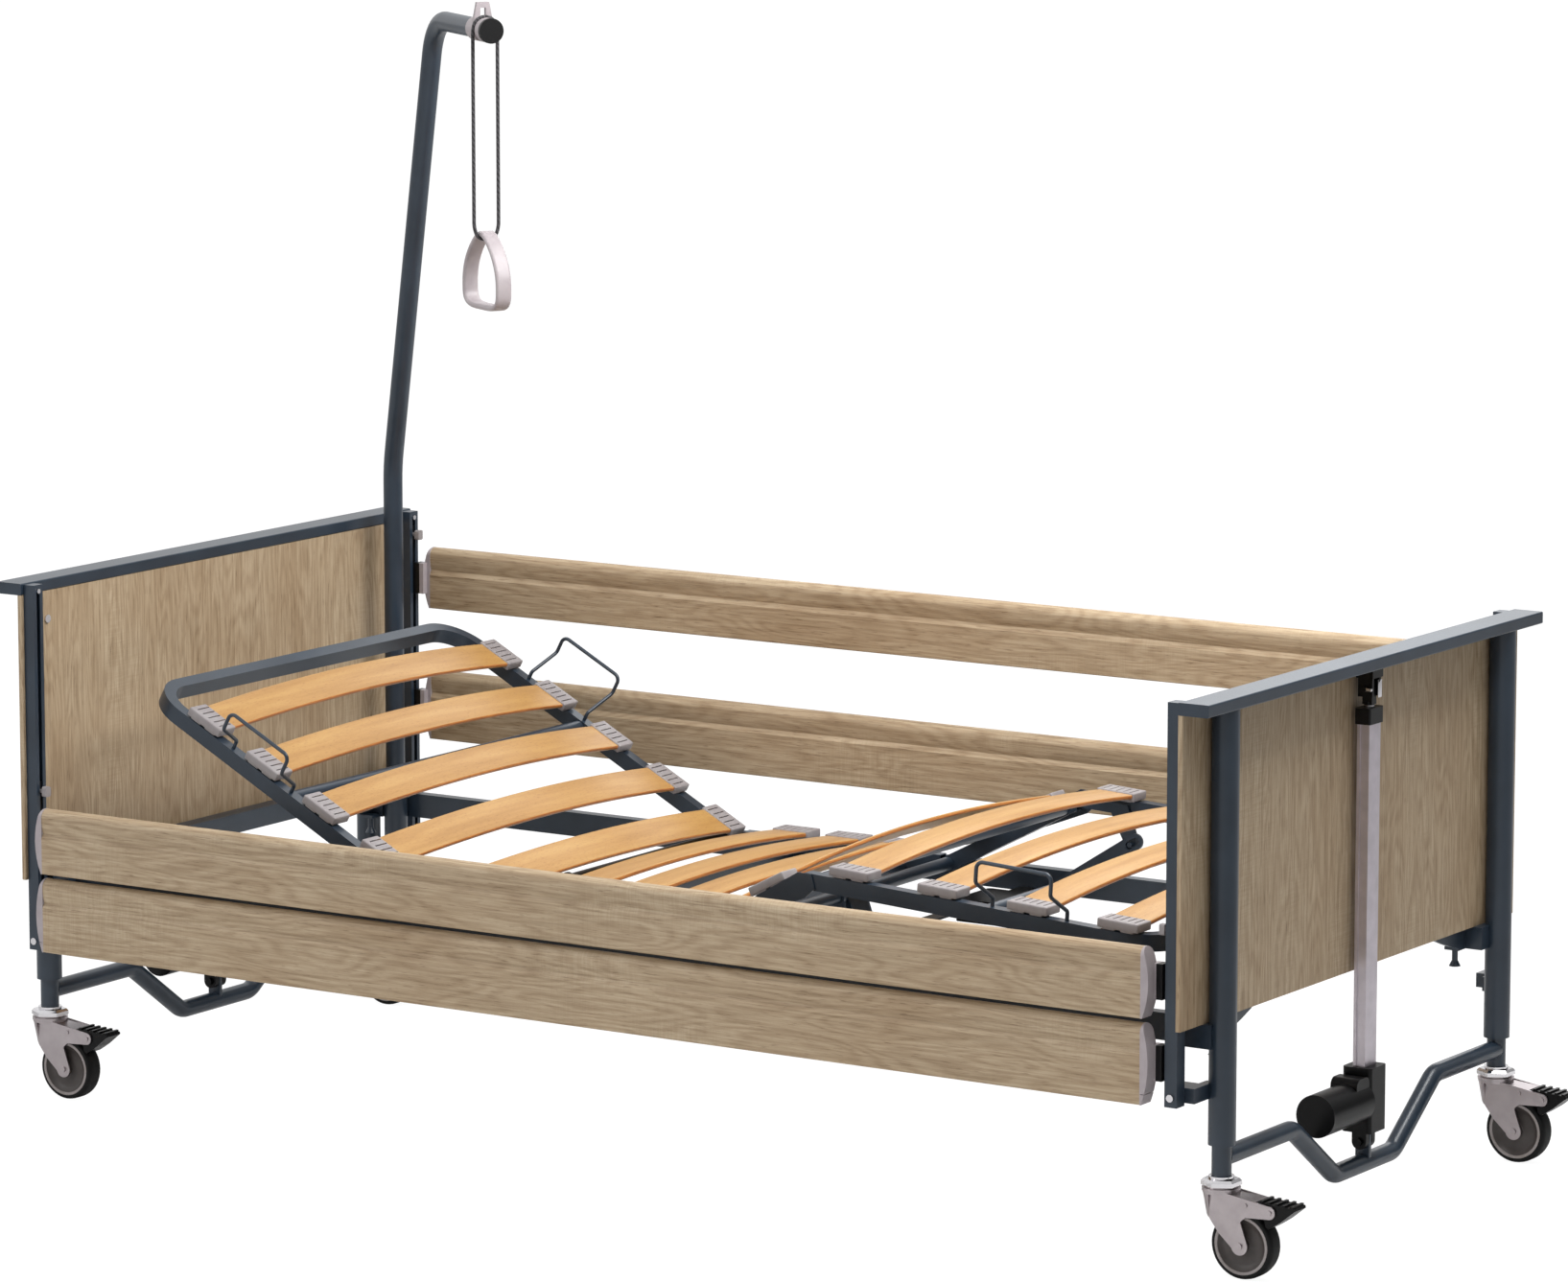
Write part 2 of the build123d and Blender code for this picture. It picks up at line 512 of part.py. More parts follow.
def lift_profile(end):
    """Aluminium guide profile of the lift drive with its plastic top cap."""
    x = end * COLUMN_X
    profile = block((x - 10, x + 10), (-17.5, 17.5), (226, 738))
    for side in (-1, 1):
        profile -= block((x - 5, x + 5), sorted((side * 16, side * 18)), (225, 739))
    cap = block((x - 13, x + 13), (-21, 21), (738, 762))
    cap = fillet(cap.edges().filter_by(Axis.Z), 3.0)
    bore = rod_z(x, 0, (250, 763), 8.4)
    return [profile - bore, cap - bore]


def lift_motor(end):
    """Gear housing at the foot of the profile, with the motor across the bed and a fork below."""
    x = end * COLUMN_X
    gear = block((x - 24, x + 24), (-25, 26), (128, 226))
    gear = fillet(gear.edges().filter_by(Axis.Z), 6.0)
    lobe = block((x - 22, x + 22), (-64, -24), (158, 216))
    lobe = fillet(lobe.edges().filter_by(Axis.X), 12.0)
    motor = rod_y(x, (-150, -24), 176, 32.0)
    fork = []
    for side in (-1, 1):
        y = sorted((side * 5.0, side * 14.0))
        fork.append(block((x - 12, x + 12), y, (112, 129)) + rod_y(x, y, 112, 12))
    pin = rod_y(x, (-19, 19), 112, 6.0)
    return gear + lobe + motor + fork[0] + fork[1] + pin


def lift_rod(end):
    """Push rod of the lift drive with its head, clip pin and the bracket under the cap rail."""
    x = end * COLUMN_X
    rod = rod_z(x, 0, (300, 770), 8.0)
    head = block((x - 8, x + 8), (-7, 7), (766, 800))
    bracket = block((x - 14, x + 14), (-16, 16), (806, END_HEIGHT - CAP_HEIGHT))
    for side in (-1, 1):
        bracket += block((x - 12, x + 12), sorted((side * 8.5, side * 13.5)), (778, 808))
    pin = rod_y(x, (-19, 19), 790, 4.0)
    return [rod + head, bracket, pin - (rod + head) - bracket]


# ---------------------------------------------------------------- casters
def fork_cheek():
    """One side of the fork: a leg down to the axle and an arm back to the pedal's pivot."""
    pedal_x, pedal_z = CASTER_PIVOT
    points = [(-8, 125), (18, 124.5), (pedal_x, pedal_z + 9.5), (pedal_x, pedal_z - 9.5), (50, 93), (42, 86),
              (TRAIL + 13, WHEEL_RADIUS + 2), (TRAIL - 12, WHEEL_RADIUS - 4), (7, 66), (-8, 86)]
    outline = make_face(Polyline(*points, close=True))
    outline = fillet(outline.vertices().sort_by_distance((46, 90))[:2], 4.0)
    outline += Pos(pedal_x, pedal_z) * Circle(9.5) + Pos(TRAIL, WHEEL_RADIUS) * Circle(13)
    return extrude(Plane.XZ * outline, -2.7)


def caster_fork():
    """Pressed steel fork with its swivel race and the axle, about the stem at X = Y = 0."""
    inner = WHEEL_WIDTH / 2 + 1.8
    outer = inner + 2.7
    race = rod_z(0, 0, (121, 125), 27.0) + rod_z(0, 0, (124, 129), 28.0) + rod_z(0, 0, (128, 131.5), 24.0)
    front = Pos(0, 0, 105) * (Cone(20, 27, 38) - Cone(17.3, 24.3, 38.01))
    front -= block((-8, 40), (-40, 40), (80, 130))
    front -= Pos(-24, 0, 80) * Rot(0, 35, 0) * Box(60, 80, 24)
    web = block((0, 66), (-inner - 1, inner + 1), (-3, 0))
    web = Pos(0, 0, 125) * Rot(0, 6.5, 0) * web
    cheeks = Pos(0, inner, 0) * fork_cheek() + Pos(0, -outer, 0) * fork_cheek()
    axle = rod_y(TRAIL, (-outer - 2.5, outer + 2.5), WHEEL_RADIUS, 5.0)
    rivet = rod_y(50, (-outer - 1.5, outer + 1.5), 111, 3.5)
    pin = rod_y(CASTER_PIVOT[0], (-outer - 1.5, outer + 1.5), CASTER_PIVOT[1], 4.0)
    fork = race + front + web + cheeks + axle + rivet + pin
    return fork - rod_z(0, 0, (110, 140), 8.3)


def caster_wheel():
    """Dished wheel body with a rubber tyre pressed round it."""
    half = WHEEL_WIDTH / 2
    rim_radius = WHEEL_RADIUS - 7.0
    tyre = rod_y(TRAIL, (-half, half), WHEEL_RADIUS, WHEEL_RADIUS)
    tyre = fillet(tyre.edges(), 6.0)
    tyre -= rod_y(TRAIL, (-half - 1, half + 1), WHEEL_RADIUS, rim_radius)
    body = rod_y(TRAIL, (-half + 0.5, half - 0.5), WHEEL_RADIUS, rim_radius)
    for side in (-1, 1):
        dish = Rot(-90 * side, 0, 0) * Cone(30, rim_radius - 3, 7.01)
        dish = Pos(TRAIL, side * (half - 3.5), WHEEL_RADIUS) * dish
        hub = rod_y(TRAIL, sorted((side * (half - 9), side * (half + 1.3))), WHEEL_RADIUS, 11)
        body = body - dish + hub
    return [tyre, body - rod_y(TRAIL, (-half - 3, half + 3), WHEEL_RADIUS, 5.1)]


def caster_pedal():
    """Black brake pedal hung on the fork's rear pin: ribbed tread above, brake shoe below."""
    pivot_x, pivot_z = CASTER_PIVOT
    half = WHEEL_WIDTH / 2 + 1.2
    side_view = Polyline((70, 112), (70, 118), (PEDAL_REACH - 1, 114.5), (PEDAL_REACH, 111), (106, 93),
                         (94, 85), (86, 80), (81, 84), (79, 96), (76, 108), close=True)
    pedal = extrude(Plane.XZ * make_face(side_view), half, both=True)
    for index in range(5):
        x = 72 + index * 12.0
        rib = block((x, x + 4.5), (-half, half), (112, 120.5 - index * 0.8))
        pedal += rib
    for side in (-1, 1):
        taper = Pos(PEDAL_REACH, side * (half + 10), 105) * Rot(0, 0, side * -8) * Box(64, 20, 60)
        pedal -= taper
    return pedal - rod_y(pivot_x, (-half - 1, half + 1), pivot_z, 4.2)


CASTER_PIVOT = (88.5, 104.7)
CASTERS = {"head_near": (-1, -1), "head_far": (-1, 1), "foot_near": (1, -1), "foot_far": (1, 1)}


# ---------------------------------------------------------------- side rails
def board_face(height):
    """Section of a side board: rounded top, a long groove in each face, flat below it."""
    thick = BOARD_OUTER_Y - BOARD_INNER_Y
    middle = thick / 2
    groove = height - GROOVE_DROP
    lines = []
    for side in (-1, 1):
        def at(depth, z):
            return middle + side * (middle - depth), z
        lines += [Line((middle, 0), at(1.5, 0)), Line(at(1.5, 0), at(0, 1.5)),
                  Line(at(0, 1.5), at(0, groove - 8)),
                  Line(at(0, groove - 8), at(GROOVE_DEPTH, groove)),
                  ThreePointArc(at(GROOVE_DEPTH, groove), at(1.2, height - 26), at(0.6, height - 14)),
                  ThreePointArc(at(0.6, height - 14), at(4.2, height - 4.6), (middle, height))]
    return make_face(lines)


def side_board(side, base, height):
    face = Pos(BOARD_INNER_Y, base) * board_face(height)
    board = extrude(Plane.YZ * face, BOARD_HALF_LENGTH, both=True)
    return board if side > 0 else mirror(board, Plane.XZ)


def end_cap(end, base, height):
    """Lens-shaped plastic cap: thin at its top and bottom, CAP_BULGE thick in the middle."""
    foot, crown = end * BOARD_HALF_LENGTH, end * (BOARD_HALF_LENGTH + CAP_BULGE)
    rim = end * (BOARD_HALF_LENGTH + 2.5)
    arc = ThreePointArc((rim, base), (crown, base + height / 2), (rim, base + height))
    sides = [Line((rim, base + height), (foot, base + height)), Line((foot, base + height), (foot, base)),
             Line((foot, base), (rim, base))]
    lens = extrude(Plane.XZ * make_face([arc] + sides), -BOARD_OUTER_Y - 10)
    outline = Pos((BOARD_INNER_Y + BOARD_OUTER_Y) / 2, base + height / 2)
    outline *= Rectangle(BOARD_OUTER_Y - BOARD_INNER_Y, height)
    outline = fillet(outline.vertices().group_by(Axis.Y)[-1], 13.0)
    outline = extrude(Plane.YZ * outline, BOARD_HALF_LENGTH + 40, both=True)
    return lens & outline


def board_ends(side, base, height, button):
    """Domed end caps with the slider of each board; the upper ones reach up to the button."""
    parts = []
    for end in (-1, 1):
        cap = end_cap(end, base, height)
        if not button:
            seam_x = sorted((end * (BOARD_HALF_LENGTH + 1), end * POST_X))
            cap -= block(seam_x, (BOARD_INNER_Y, BOARD_OUTER_Y), (base + 15, base + 16))
        middle = base + height / 2
        lug_x = sorted((end * (BOARD_HALF_LENGTH + 6), end * (POST_X - 3)))
        lug = block(lug_x, (497, 515), (middle - 26, middle + 26))
        neck = block(sorted((end * (POST_X - 4), end * (POST_X + 4))), (497, 504), (middle - 26, middle + 26))
        top = base + height + 36 if button else middle + 34
        slider_x = sorted((end * (POST_X + 2.5), end * (POST_X + 17.5)))
        slider = block(slider_x, (491.6, 509.4), (middle - 34, top))
        part = cap + lug + neck + slider
        if button:
            hole_x = sorted((end * (POST_X - 1), end * (POST_X + 14)))
            part -= rod_x(hole_x, 500.5, base + height + 22, 3.4)
        parts.append(part if side > 0 else mirror(part, Plane.XZ))
    return parts


def release_button(end, side, base):
    """Push button above the upper board: pressing it into the post frees the rail."""
    z = base + UPPER_HEIGHT + 22
    head = block(sorted((end * (POST_X - 14), end * (POST_X - 5.5))), (494.5, 506.5), (z - 8, z + 8))
    head = fillet(head.edges().filter_by(Axis.X), 3.0)
    neck = rod_x(sorted((end * (POST_X - 6), end * (POST_X + 8))), 500.5, z, 3.0)
    return head + neck if side > 0 else mirror(head + neck, Plane.XZ)


# ---------------------------------------------------------------- trapeze
AT_ARM = Location((POLE_X, POLE_Y, ARM_Z), (0, 0, ARM_HEADING))


def trapeze_pole():
    points = [(0, 0, 272 - ARM_Z), (0, 0, POLE_BEND_Z - ARM_Z), (ARM_RISE_REACH, 0, 0),
              (ARM_REACH - 12, 0, 0)]
    path = FilletPolyline(*points, radius=[160.0, 85.0])
    start = Plane(path @ 0, z_dir=path % 0)
    return AT_ARM * (sweep(start * Circle(POLE_RADIUS), path) - sweep(start * Circle(POLE_RADIUS - 2), path))


def arm_clip():
    """Grooved plastic sleeve on the arm's end with an upright eye, and the black end plug."""
    sleeve = rod_x((ARM_REACH - 78, ARM_REACH - 8), 0, 0, 19.5)
    sleeve -= rod_x((GRIP_X - 7, GRIP_X + 7), 0, 0, 60) - rod_x((GRIP_X - 8, GRIP_X + 8), 0, 0, 17.0)
    sleeve -= rod_x((ARM_REACH - 80, ARM_REACH), 0, 0, POLE_RADIUS)
    eye = Polyline((-16, 12), (16, 12), (10, 43), (-10, 43), close=True)
    eye = extrude(Plane.YZ * (make_face(eye) - Pos(0, 28) * Rectangle(9, 12)), 9.0)
    sleeve += Pos(GRIP_X - 18, 0, 0) * eye - rod_x((ARM_REACH - 80, ARM_REACH), 0, 0, 17.0)
    plug = rod_x((ARM_REACH - 8, ARM_REACH), 0, 0, 20.0)
    plug += rod_x((ARM_REACH - 30, ARM_REACH - 7), 0, 0, POLE_RADIUS - 2)
    return [AT_ARM * sleeve, AT_ARM * plug]


def cord_points():
    """Route of the hanging cord in the plane across the arm, as Y and Z from the arm's axis."""
    gap = CORD_HALF_GAP
    shoulder = gap * tan(pi / 8)
    eye = EYE_Z - ARM_Z
    right = [(1.0, gap), (shoulder, gap), (gap, shoulder), (gap, eye + 18), (13.2, eye)]
    return right + [(-y, z) for y, z in reversed(right)]


def grip_cord():
    flat = cord_points()
    points = [(GRIP_X, y, z) for y, z in flat]
    radii = []
    for before, here, after in zip(points, points[1:], points[2:]):
        first = Vector(*here) - Vector(*before)
        second = Vector(*after) - Vector(*here)
        turn = radians(first.get_angle(second))
        run = min(first.length, second.length)
        radii.append(0.45 * run / tan(turn / 2))
    path = FilletPolyline(*points, radius=radii)
    cord = sweep(Plane(path @ 0, z_dir=path % 0) * Circle(CORD_RADIUS), path)
    print("cord length", round(path.length, 1), "volume ratio",
          round(cord.volume / (path.length * pi * CORD_RADIUS ** 2), 4))
    print("cord radii", [round(radius, 1) for radius in radii])
    return AT_ARM * cord


def grip_handle():
    """Stirrup-shaped plastic grip: the cord passes through the eye in its thick top."""
    top, bottom = 1371.0 - ARM_Z, 1243.0 - ARM_Z
    right = [ThreePointArc((12, top - 3), (51, top - 47), (69, bottom + 42)),
             ThreePointArc((69, bottom + 42), (64, bottom + 12), (42, bottom + 1)),
             ThreePointArc((42, bottom + 1), (0, bottom - 2), (-42, bottom + 1))]
    left = [ThreePointArc((-42, bottom + 1), (-64, bottom + 12), (-69, bottom + 42)),
            ThreePointArc((-69, bottom + 42), (-51, top - 47), (-12, top - 3)),
            ThreePointArc((-12, top - 3), (0, top), (12, top - 3))]
    inner = [ThreePointArc((7, top - 26), (39, top - 57), (55, bottom + 41)),
             ThreePointArc((55, bottom + 41), (51, bottom + 22), (36, bottom + 15)),
             ThreePointArc((36, bottom + 15), (0, bottom + 13), (-36, bottom + 15)),
             ThreePointArc((-36, bottom + 15), (-51, bottom + 22), (-55, bottom + 41)),
             ThreePointArc((-55, bottom + 41), (-39, top - 57), (-7, top - 26)),
             Line((-7, top - 26), (7, top - 26))]
    grip = extrude(Plane.XZ * (make_face(right + left) - make_face(inner)), 16.0, both=True)
    grip = Pos(GRIP_X, 0, 0) * grip
    eye = EYE_Z - ARM_Z
    grip -= rod_y(GRIP_X, (-17, 17), eye, 3.6)
    fan = Polyline((-4.4, eye - 2), (4.4, eye - 2), (11.5, top + 2), (-11.5, top + 2), close=True)
    flare = make_face(fan)
    flare = Pos(GRIP_X, 0, 0) * extrude(Plane.XZ * flare, 17.0, both=True)
    flare += rod_y(GRIP_X, (-17, 17), eye, 4.4)
    grip -= flare - block((GRIP_X - 20, GRIP_X + 20), (-5.5, 5.5), (eye - 20, top + 20))
    return AT_ARM * grip


# ---------------------------------------------------------------- small parts
def fasteners():
    """Panel screws and the screws of the guide posts."""
    parts = []
    for end in (-1, 1):
        inner = end * PANEL_INNER_X
        for y in (-455, 455):
            parts.append(rod_x(sorted((inner - end * 2.5, inner)), y, 775, 6.5))
        parts += both_sides(rod_x(sorted((end * (POST_X - 2), end * (POST_X + 6))), 500.5, 826, 3.8))
        head_y = (POST_OUTER_Y, POST_OUTER_Y + 3.0)
        parts += both_sides(rod_y(end * (POST_X + 10), head_y, POST_BOTTOM + 14, 5.5))
    return parts


def control_box():
    box = block((198, 286), (262, 366), (304, 340))
    box = fillet(box.edges().filter_by(Axis.Z), 8.0)
    ears = block((230, 254), (-RAIL_INNER_Y, RAIL_INNER_Y), (334, 338))
    return [box - ears, ears]


# ---------------------------------------------------------------- write the nodes
os.makedirs("parts", exist_ok=True)

save("end_panels", end_panel(-1), end_panel(1))
save("cap_rails", *cap_rail(-1), *cap_rail(1))
save("columns", *column(-1), *column(1))
save("guide_posts", *guide_post(-1), *guide_post(1))
save("main_frame", *main_frame())
save("fasteners", *fasteners())
save("lift_rods", *lift_rod(-1), *lift_rod(1))
save("seat_slats", *slat_row(AT_SEAT, SEAT_SLATS))
save("seat_caps", *cap_row(AT_SEAT, SEAT_SLATS))
save("control_box", *control_box())

for name, end in (("head", -1), ("foot", 1)):
    save(f"{name}_undercarriage", *undercarriage(end))
    save(f"{name}_lift_profile", *lift_profile(end))
    save(f"{name}_lift_motor", lift_motor(end))

save("back_frame", *back_frame())
save("back_slats", *slat_row(AT_BACK, BACK_SLATS))
save("back_caps", *cap_row(AT_BACK, BACK_SLATS))
save("back_bows", *[AT_BACK * bow for bow in mattress_bow(393.2)])
save("thigh_frame", *thigh_frame())
save("thigh_slats", *slat_row(AT_THIGH, THIGH_SLATS))
save("thigh_caps", *cap_row(AT_THIGH, THIGH_SLATS))
save("calf_frame", *calf_frame())
save("calf_slats", *slat_row(AT_CALF, CALF_SLATS))
save("calf_caps", *cap_row(AT_CALF, CALF_SLATS))
save("calf_bows", *[AT_CALF * bow for bow in mattress_bow(378.0)])
save("calf_struts", *calf_struts())

back_pin = BACK_PIVOT_X + LEVER * tan(radians(35.0 - BACK_ANGLE))
leg_pin = THIGH_PIVOT_X + LEVER * tan(radians(THIGH_ANGLE - 17.0))
save("back_motor", drive(-1, -1))
save("back_rod", drive_rod(-1, -1, back_pin))
save("leg_motor", drive(1, 1))
save("leg_rod", drive_rod(1, 1, leg_pin))

for name, side, raised in (("near", -1, 0.0), ("far", 1, 1.0)):
    upper = UPPER_DOWN_Z + raised * UPPER_TRAVEL
    lower = LOWER_DOWN_Z + raised * LOWER_TRAVEL
    save(f"{name}_upper_board", side_board(side, upper, UPPER_HEIGHT))
    save(f"{name}_lower_board", side_board(side, lower, LOWER_HEIGHT))
    save(f"{name}_upper_ends", *board_ends(side, upper, UPPER_HEIGHT, True))
    save(f"{name}_lower_ends", *board_ends(side, lower, LOWER_HEIGHT, False))
    save(f"{name}_head_button", release_button(-1, side, upper))
    save(f"{name}_foot_button", release_button(1, side, upper))

save("trapeze_pole", trapeze_pole())
save("arm_clip", *arm_clip())
save("grip_cord", grip_cord())
save("grip_handle", grip_handle())

for name, (end, side) in CASTERS.items():
    stem = Pos(end * COLUMN_X, side * COLUMN_Y, 0)
    save(f"{name}_caster_fork", stem * caster_fork())
    save(f"{name}_caster_wheel", *[stem * part for part in caster_wheel()])
    save(f"{name}_caster_pedal", stem * caster_pedal())

print("knee", round(KNEE_X, 2), round(KNEE_Z, 2), "origin shift", round(CENTRE_X, 2))
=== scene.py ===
# %% [markdown]
# # An adjustable care bed
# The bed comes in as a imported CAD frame: sixty steel, wood and plastic parts that already have their
# real size and place. This file gives every part its finish, and replaces the ones whose character is
# in their detail: slats, their holders, wheels, undercarriages, the grip and its cord.

# %% Load the frame
import math
import bmesh
import bpy
from mathutils import Matrix, Vector


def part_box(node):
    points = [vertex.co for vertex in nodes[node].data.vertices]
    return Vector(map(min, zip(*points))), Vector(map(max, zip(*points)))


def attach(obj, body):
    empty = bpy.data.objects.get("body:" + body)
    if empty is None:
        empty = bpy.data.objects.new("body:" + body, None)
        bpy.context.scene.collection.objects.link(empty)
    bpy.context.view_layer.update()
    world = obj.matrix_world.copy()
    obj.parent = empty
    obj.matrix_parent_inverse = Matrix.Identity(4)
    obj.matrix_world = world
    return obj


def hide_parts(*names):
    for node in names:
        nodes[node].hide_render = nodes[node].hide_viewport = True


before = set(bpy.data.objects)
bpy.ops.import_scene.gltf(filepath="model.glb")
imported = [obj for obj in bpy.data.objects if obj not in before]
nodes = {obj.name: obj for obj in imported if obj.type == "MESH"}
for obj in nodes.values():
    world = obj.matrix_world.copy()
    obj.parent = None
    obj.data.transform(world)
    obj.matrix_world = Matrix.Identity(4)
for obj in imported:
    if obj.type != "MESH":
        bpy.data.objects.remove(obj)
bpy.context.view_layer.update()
MM = 0.001

# %% [markdown]
# ## Camera and light
# The view is from the foot end, a little above the side rails, with a long lens from about ten metres,
# so that the parallel rails stay nearly parallel.

# %% Camera
CAMERA_PLACE = Vector((5.6217, -8.7014, 2.4024))
CAMERA_HEADING = math.radians(32.872)
CAMERA_PITCH = math.radians(8.943)
camera = bpy.data.objects.new("camera", bpy.data.cameras.new("camera"))
camera.data.lens = 155.9
camera.data.clip_end = 200.0
camera.location = CAMERA_PLACE
camera.rotation_euler = (math.pi / 2 - CAMERA_PITCH, 0.0, CAMERA_HEADING)
bpy.context.scene.collection.objects.link(camera)
bpy.context.scene.camera = camera
print("camera distance", round(CAMERA_PLACE.length, 2), "m")

# %% [markdown]
# ### Lamps
# A product like this is lit softly, so that tubes and slats show their form without hard shadows. The
# larger an area lamp is, the softer its shadow. One broad lamp hangs overhead, and two weaker ones stand
# on the near and far sides.


# %% Lamps
def soft_lamp(name, place, aim, size, watts):
    """A square area lamp that looks at a point."""
    lamp = bpy.data.objects.new(name, bpy.data.lights.new(name, "AREA"))
    lamp.data.size = size
    lamp.data.energy = watts
    lamp.location = place
    lamp.rotation_euler = (Vector(aim) - Vector(place)).to_track_quat("-Z", "Y").to_euler()
    bpy.context.scene.collection.objects.link(lamp)


soft_lamp("lamp_overhead", (1.05, 0.0, 2.8), (-1.0, 0, 0.6), 1.8, 96)
soft_lamp("lamp_head_side", (-3.5, -6.0, 3.2), (0, 0, 0.5), 2.5, 57)
soft_lamp("lamp_far_side", (-1.0, 5.0, 3.0), (0, 0, 0.6), 2.5, 30)
bpy.context.scene.view_settings.view_transform = "Standard"
print("3 lamps")

# %% [markdown]
# ## Materials
# Every finish is a small node tree. Colours are written as the sRGB hex values that a paint card
# gives, and one function turns them into the linear values that the shader needs. One more function
# adds a node with its settings and its links, so each recipe below reads as a list of steps. A
# pattern's size is written in millimetres and turned into the scale that the node asks for.

# %% Colour and node helpers
def linear(hex_value):
    """An sRGB hex colour as the linear RGBA that the shader works in."""
    channels = [int(hex_value[i:i + 2], 16) / 255 for i in (1, 3, 5)]
    return [c / 12.92 if c <= 0.04045 else ((c + 0.055) / 1.055) ** 2.4 for c in channels] + [1.0]


def every(size_mm):
    """The scale that makes a pattern's largest cells size_mm across."""
    return 1.0 / (size_mm * MM)


def add(tree, kind, inputs=None, out=0, stops=(), **settings):
    """Add one node and return its output named or numbered out.

    inputs maps a socket name or number to a value or to another node's output, and stops are a
    colour ramp's (position, hex colour) pairs.
    """
    node = tree.nodes.new(kind)
    for key, value in settings.items():
        setattr(node, key, value)
    while stops and len(node.color_ramp.elements) < len(stops):
        node.color_ramp.elements.new(0.5)
    for index, (position, colour) in enumerate(stops):
        node.color_ramp.elements[index].position = position
        node.color_ramp.elements[index].color = linear(colour)
    for socket, value in (inputs or {}).items():
        if isinstance(value, bpy.types.NodeSocket):
            tree.links.new(value, node.inputs[socket])
        else:
            node.inputs[socket].default_value = value
    return node.outputs[out]


def new_material(name, **sockets):
    """A material with its shader's constant sockets set; returns it with its tree and shader."""
    material = bpy.data.materials.new(name)
    material.use_nodes = True
    shader = material.node_tree.nodes["Principled BSDF"]
    for socket, value in sockets.items():
        shader.inputs[socket.replace("_", " ")].default_value = value
    return material, material.node_tree, shader


print("a 2 mm pattern has scale", round(every(2.0)))

# %% [markdown]
# ### World and floor
# The camera sees a pure white world. The light that the world sheds on the bed is brighter on the head
# side and overhead, and falls off towards the foot, as it does when a black flag stands on one side of a
# set: that is what gives the round columns their dark core. The floor is a matt white board that catches
# a faint shadow under the casters, brightened for the eye only.


# %% World and floor
BRIGHT_SIDE = Vector((-0.8, -0.1, 0.6)).normalized()
WORLD_LIGHT = 0.95
world = bpy.data.worlds.new("studio")
world.use_nodes = True
sky = world.node_tree
direction = add(sky, "ShaderNodeTexCoord", out="Generated")
facing = add(sky, "ShaderNodeVectorMath", {0: direction, 1: BRIGHT_SIDE}, "Value", operation="DOT_PRODUCT")
light = add(sky, "ShaderNodeMapRange", {"Value": facing, "From Min": -0.55, "From Max": 0.55,
                                        "To Max": WORLD_LIGHT})
seen = add(sky, "ShaderNodeLightPath", out="Is Camera Ray")
strength = add(sky, "ShaderNodeMix", {0: seen, 2: light, 3: 1.0})
backdrop = sky.nodes["Background"]
backdrop.inputs["Color"].default_value = (1.0, 1.0, 1.0, 1.0)
sky.links.new(strength, backdrop.inputs["Strength"])
bpy.context.scene.world = world

FLOOR_HALF = 90.0
FLOOR_GLOW = 1.16
GLOW_SHARE = 0.82
floor_mesh = bpy.data.meshes.new("floor")
floor_shape = bmesh.new()
bmesh.ops.create_grid(floor_shape, x_segments=1, y_segments=1, size=FLOOR_HALF)
floor_shape.to_mesh(floor_mesh)
floor_shape.free()
floor = bpy.data.objects.new("floor", floor_mesh)
bpy.context.scene.collection.objects.link(floor)
floor_paint, floor_tree, floor_shader = new_material("floor_white", Roughness=1.0, Specular_IOR_Level=0.0)
floor_shader.inputs["Base Color"].default_value = linear("#D8D8D8")
glow = add(floor_tree, "ShaderNodeEmission", {"Strength": FLOOR_GLOW})
seen = add(floor_tree, "ShaderNodeLightPath", out="Is Camera Ray")
eye_only = add(floor_tree, "ShaderNodeMath", {0: seen, 1: GLOW_SHARE}, operation="MULTIPLY")
floor_mix = add(floor_tree, "ShaderNodeMixShader", {0: eye_only, 1: floor_shader.outputs[0], 2: glow})
floor_tree.links.new(floor_mix, floor_tree.nodes["Material Output"].inputs["Surface"])
floor_mesh.materials.append(floor_paint)
print("floor of", 2 * FLOOR_HALF, "m")

# %% [markdown]
# ### Powder-coated steel
# The frame is welded steel tube with a baked polyester powder coat in blue-grey anthracite. The
# powder melts into a satin skin with a faint orange-peel ripple a couple of millimetres across, which
# breaks up the long highlights along the tubes.


# %% Powder coat
def powder_coat(name, colour, lighter):
    """Satin paint with a faint ripple, a little cloudy over a hand's breadth."""
    material, tree, shader = new_material(name, Metallic=0.0, IOR=1.5, Specular_IOR_Level=0.55)
    place = add(tree, "ShaderNodeTexCoord", out="Object")
    cloud = add(tree, "ShaderNodeTexNoise", {"Vector": place, "Scale": every(90.0), "Detail": 3.0,
                                             "Roughness": 0.55})
    paint = add(tree, "ShaderNodeValToRGB", {"Fac": cloud}, stops=[(0.35, colour), (0.7, lighter)])
    peel = add(tree, "ShaderNodeTexNoise", {"Vector": place, "Scale": every(2.2), "Detail": 2.0,
                                            "Roughness": 0.55})
    rough = add(tree, "ShaderNodeMapRange", {"Value": peel, "To Min": 0.26, "To Max": 0.38})
    ripple = add(tree, "ShaderNodeBump", {"Height": peel, "Distance": 0.05 * MM, "Strength": 0.35})
    tree.links.new(paint, shader.inputs["Base Color"])
    tree.links.new(rough, shader.inputs["Roughness"])
    tree.links.new(ripple, shader.inputs["Normal"])
    return material


anthracite = powder_coat("powder_coat_anthracite", "#222D39", "#2A3643")
print(anthracite.name)

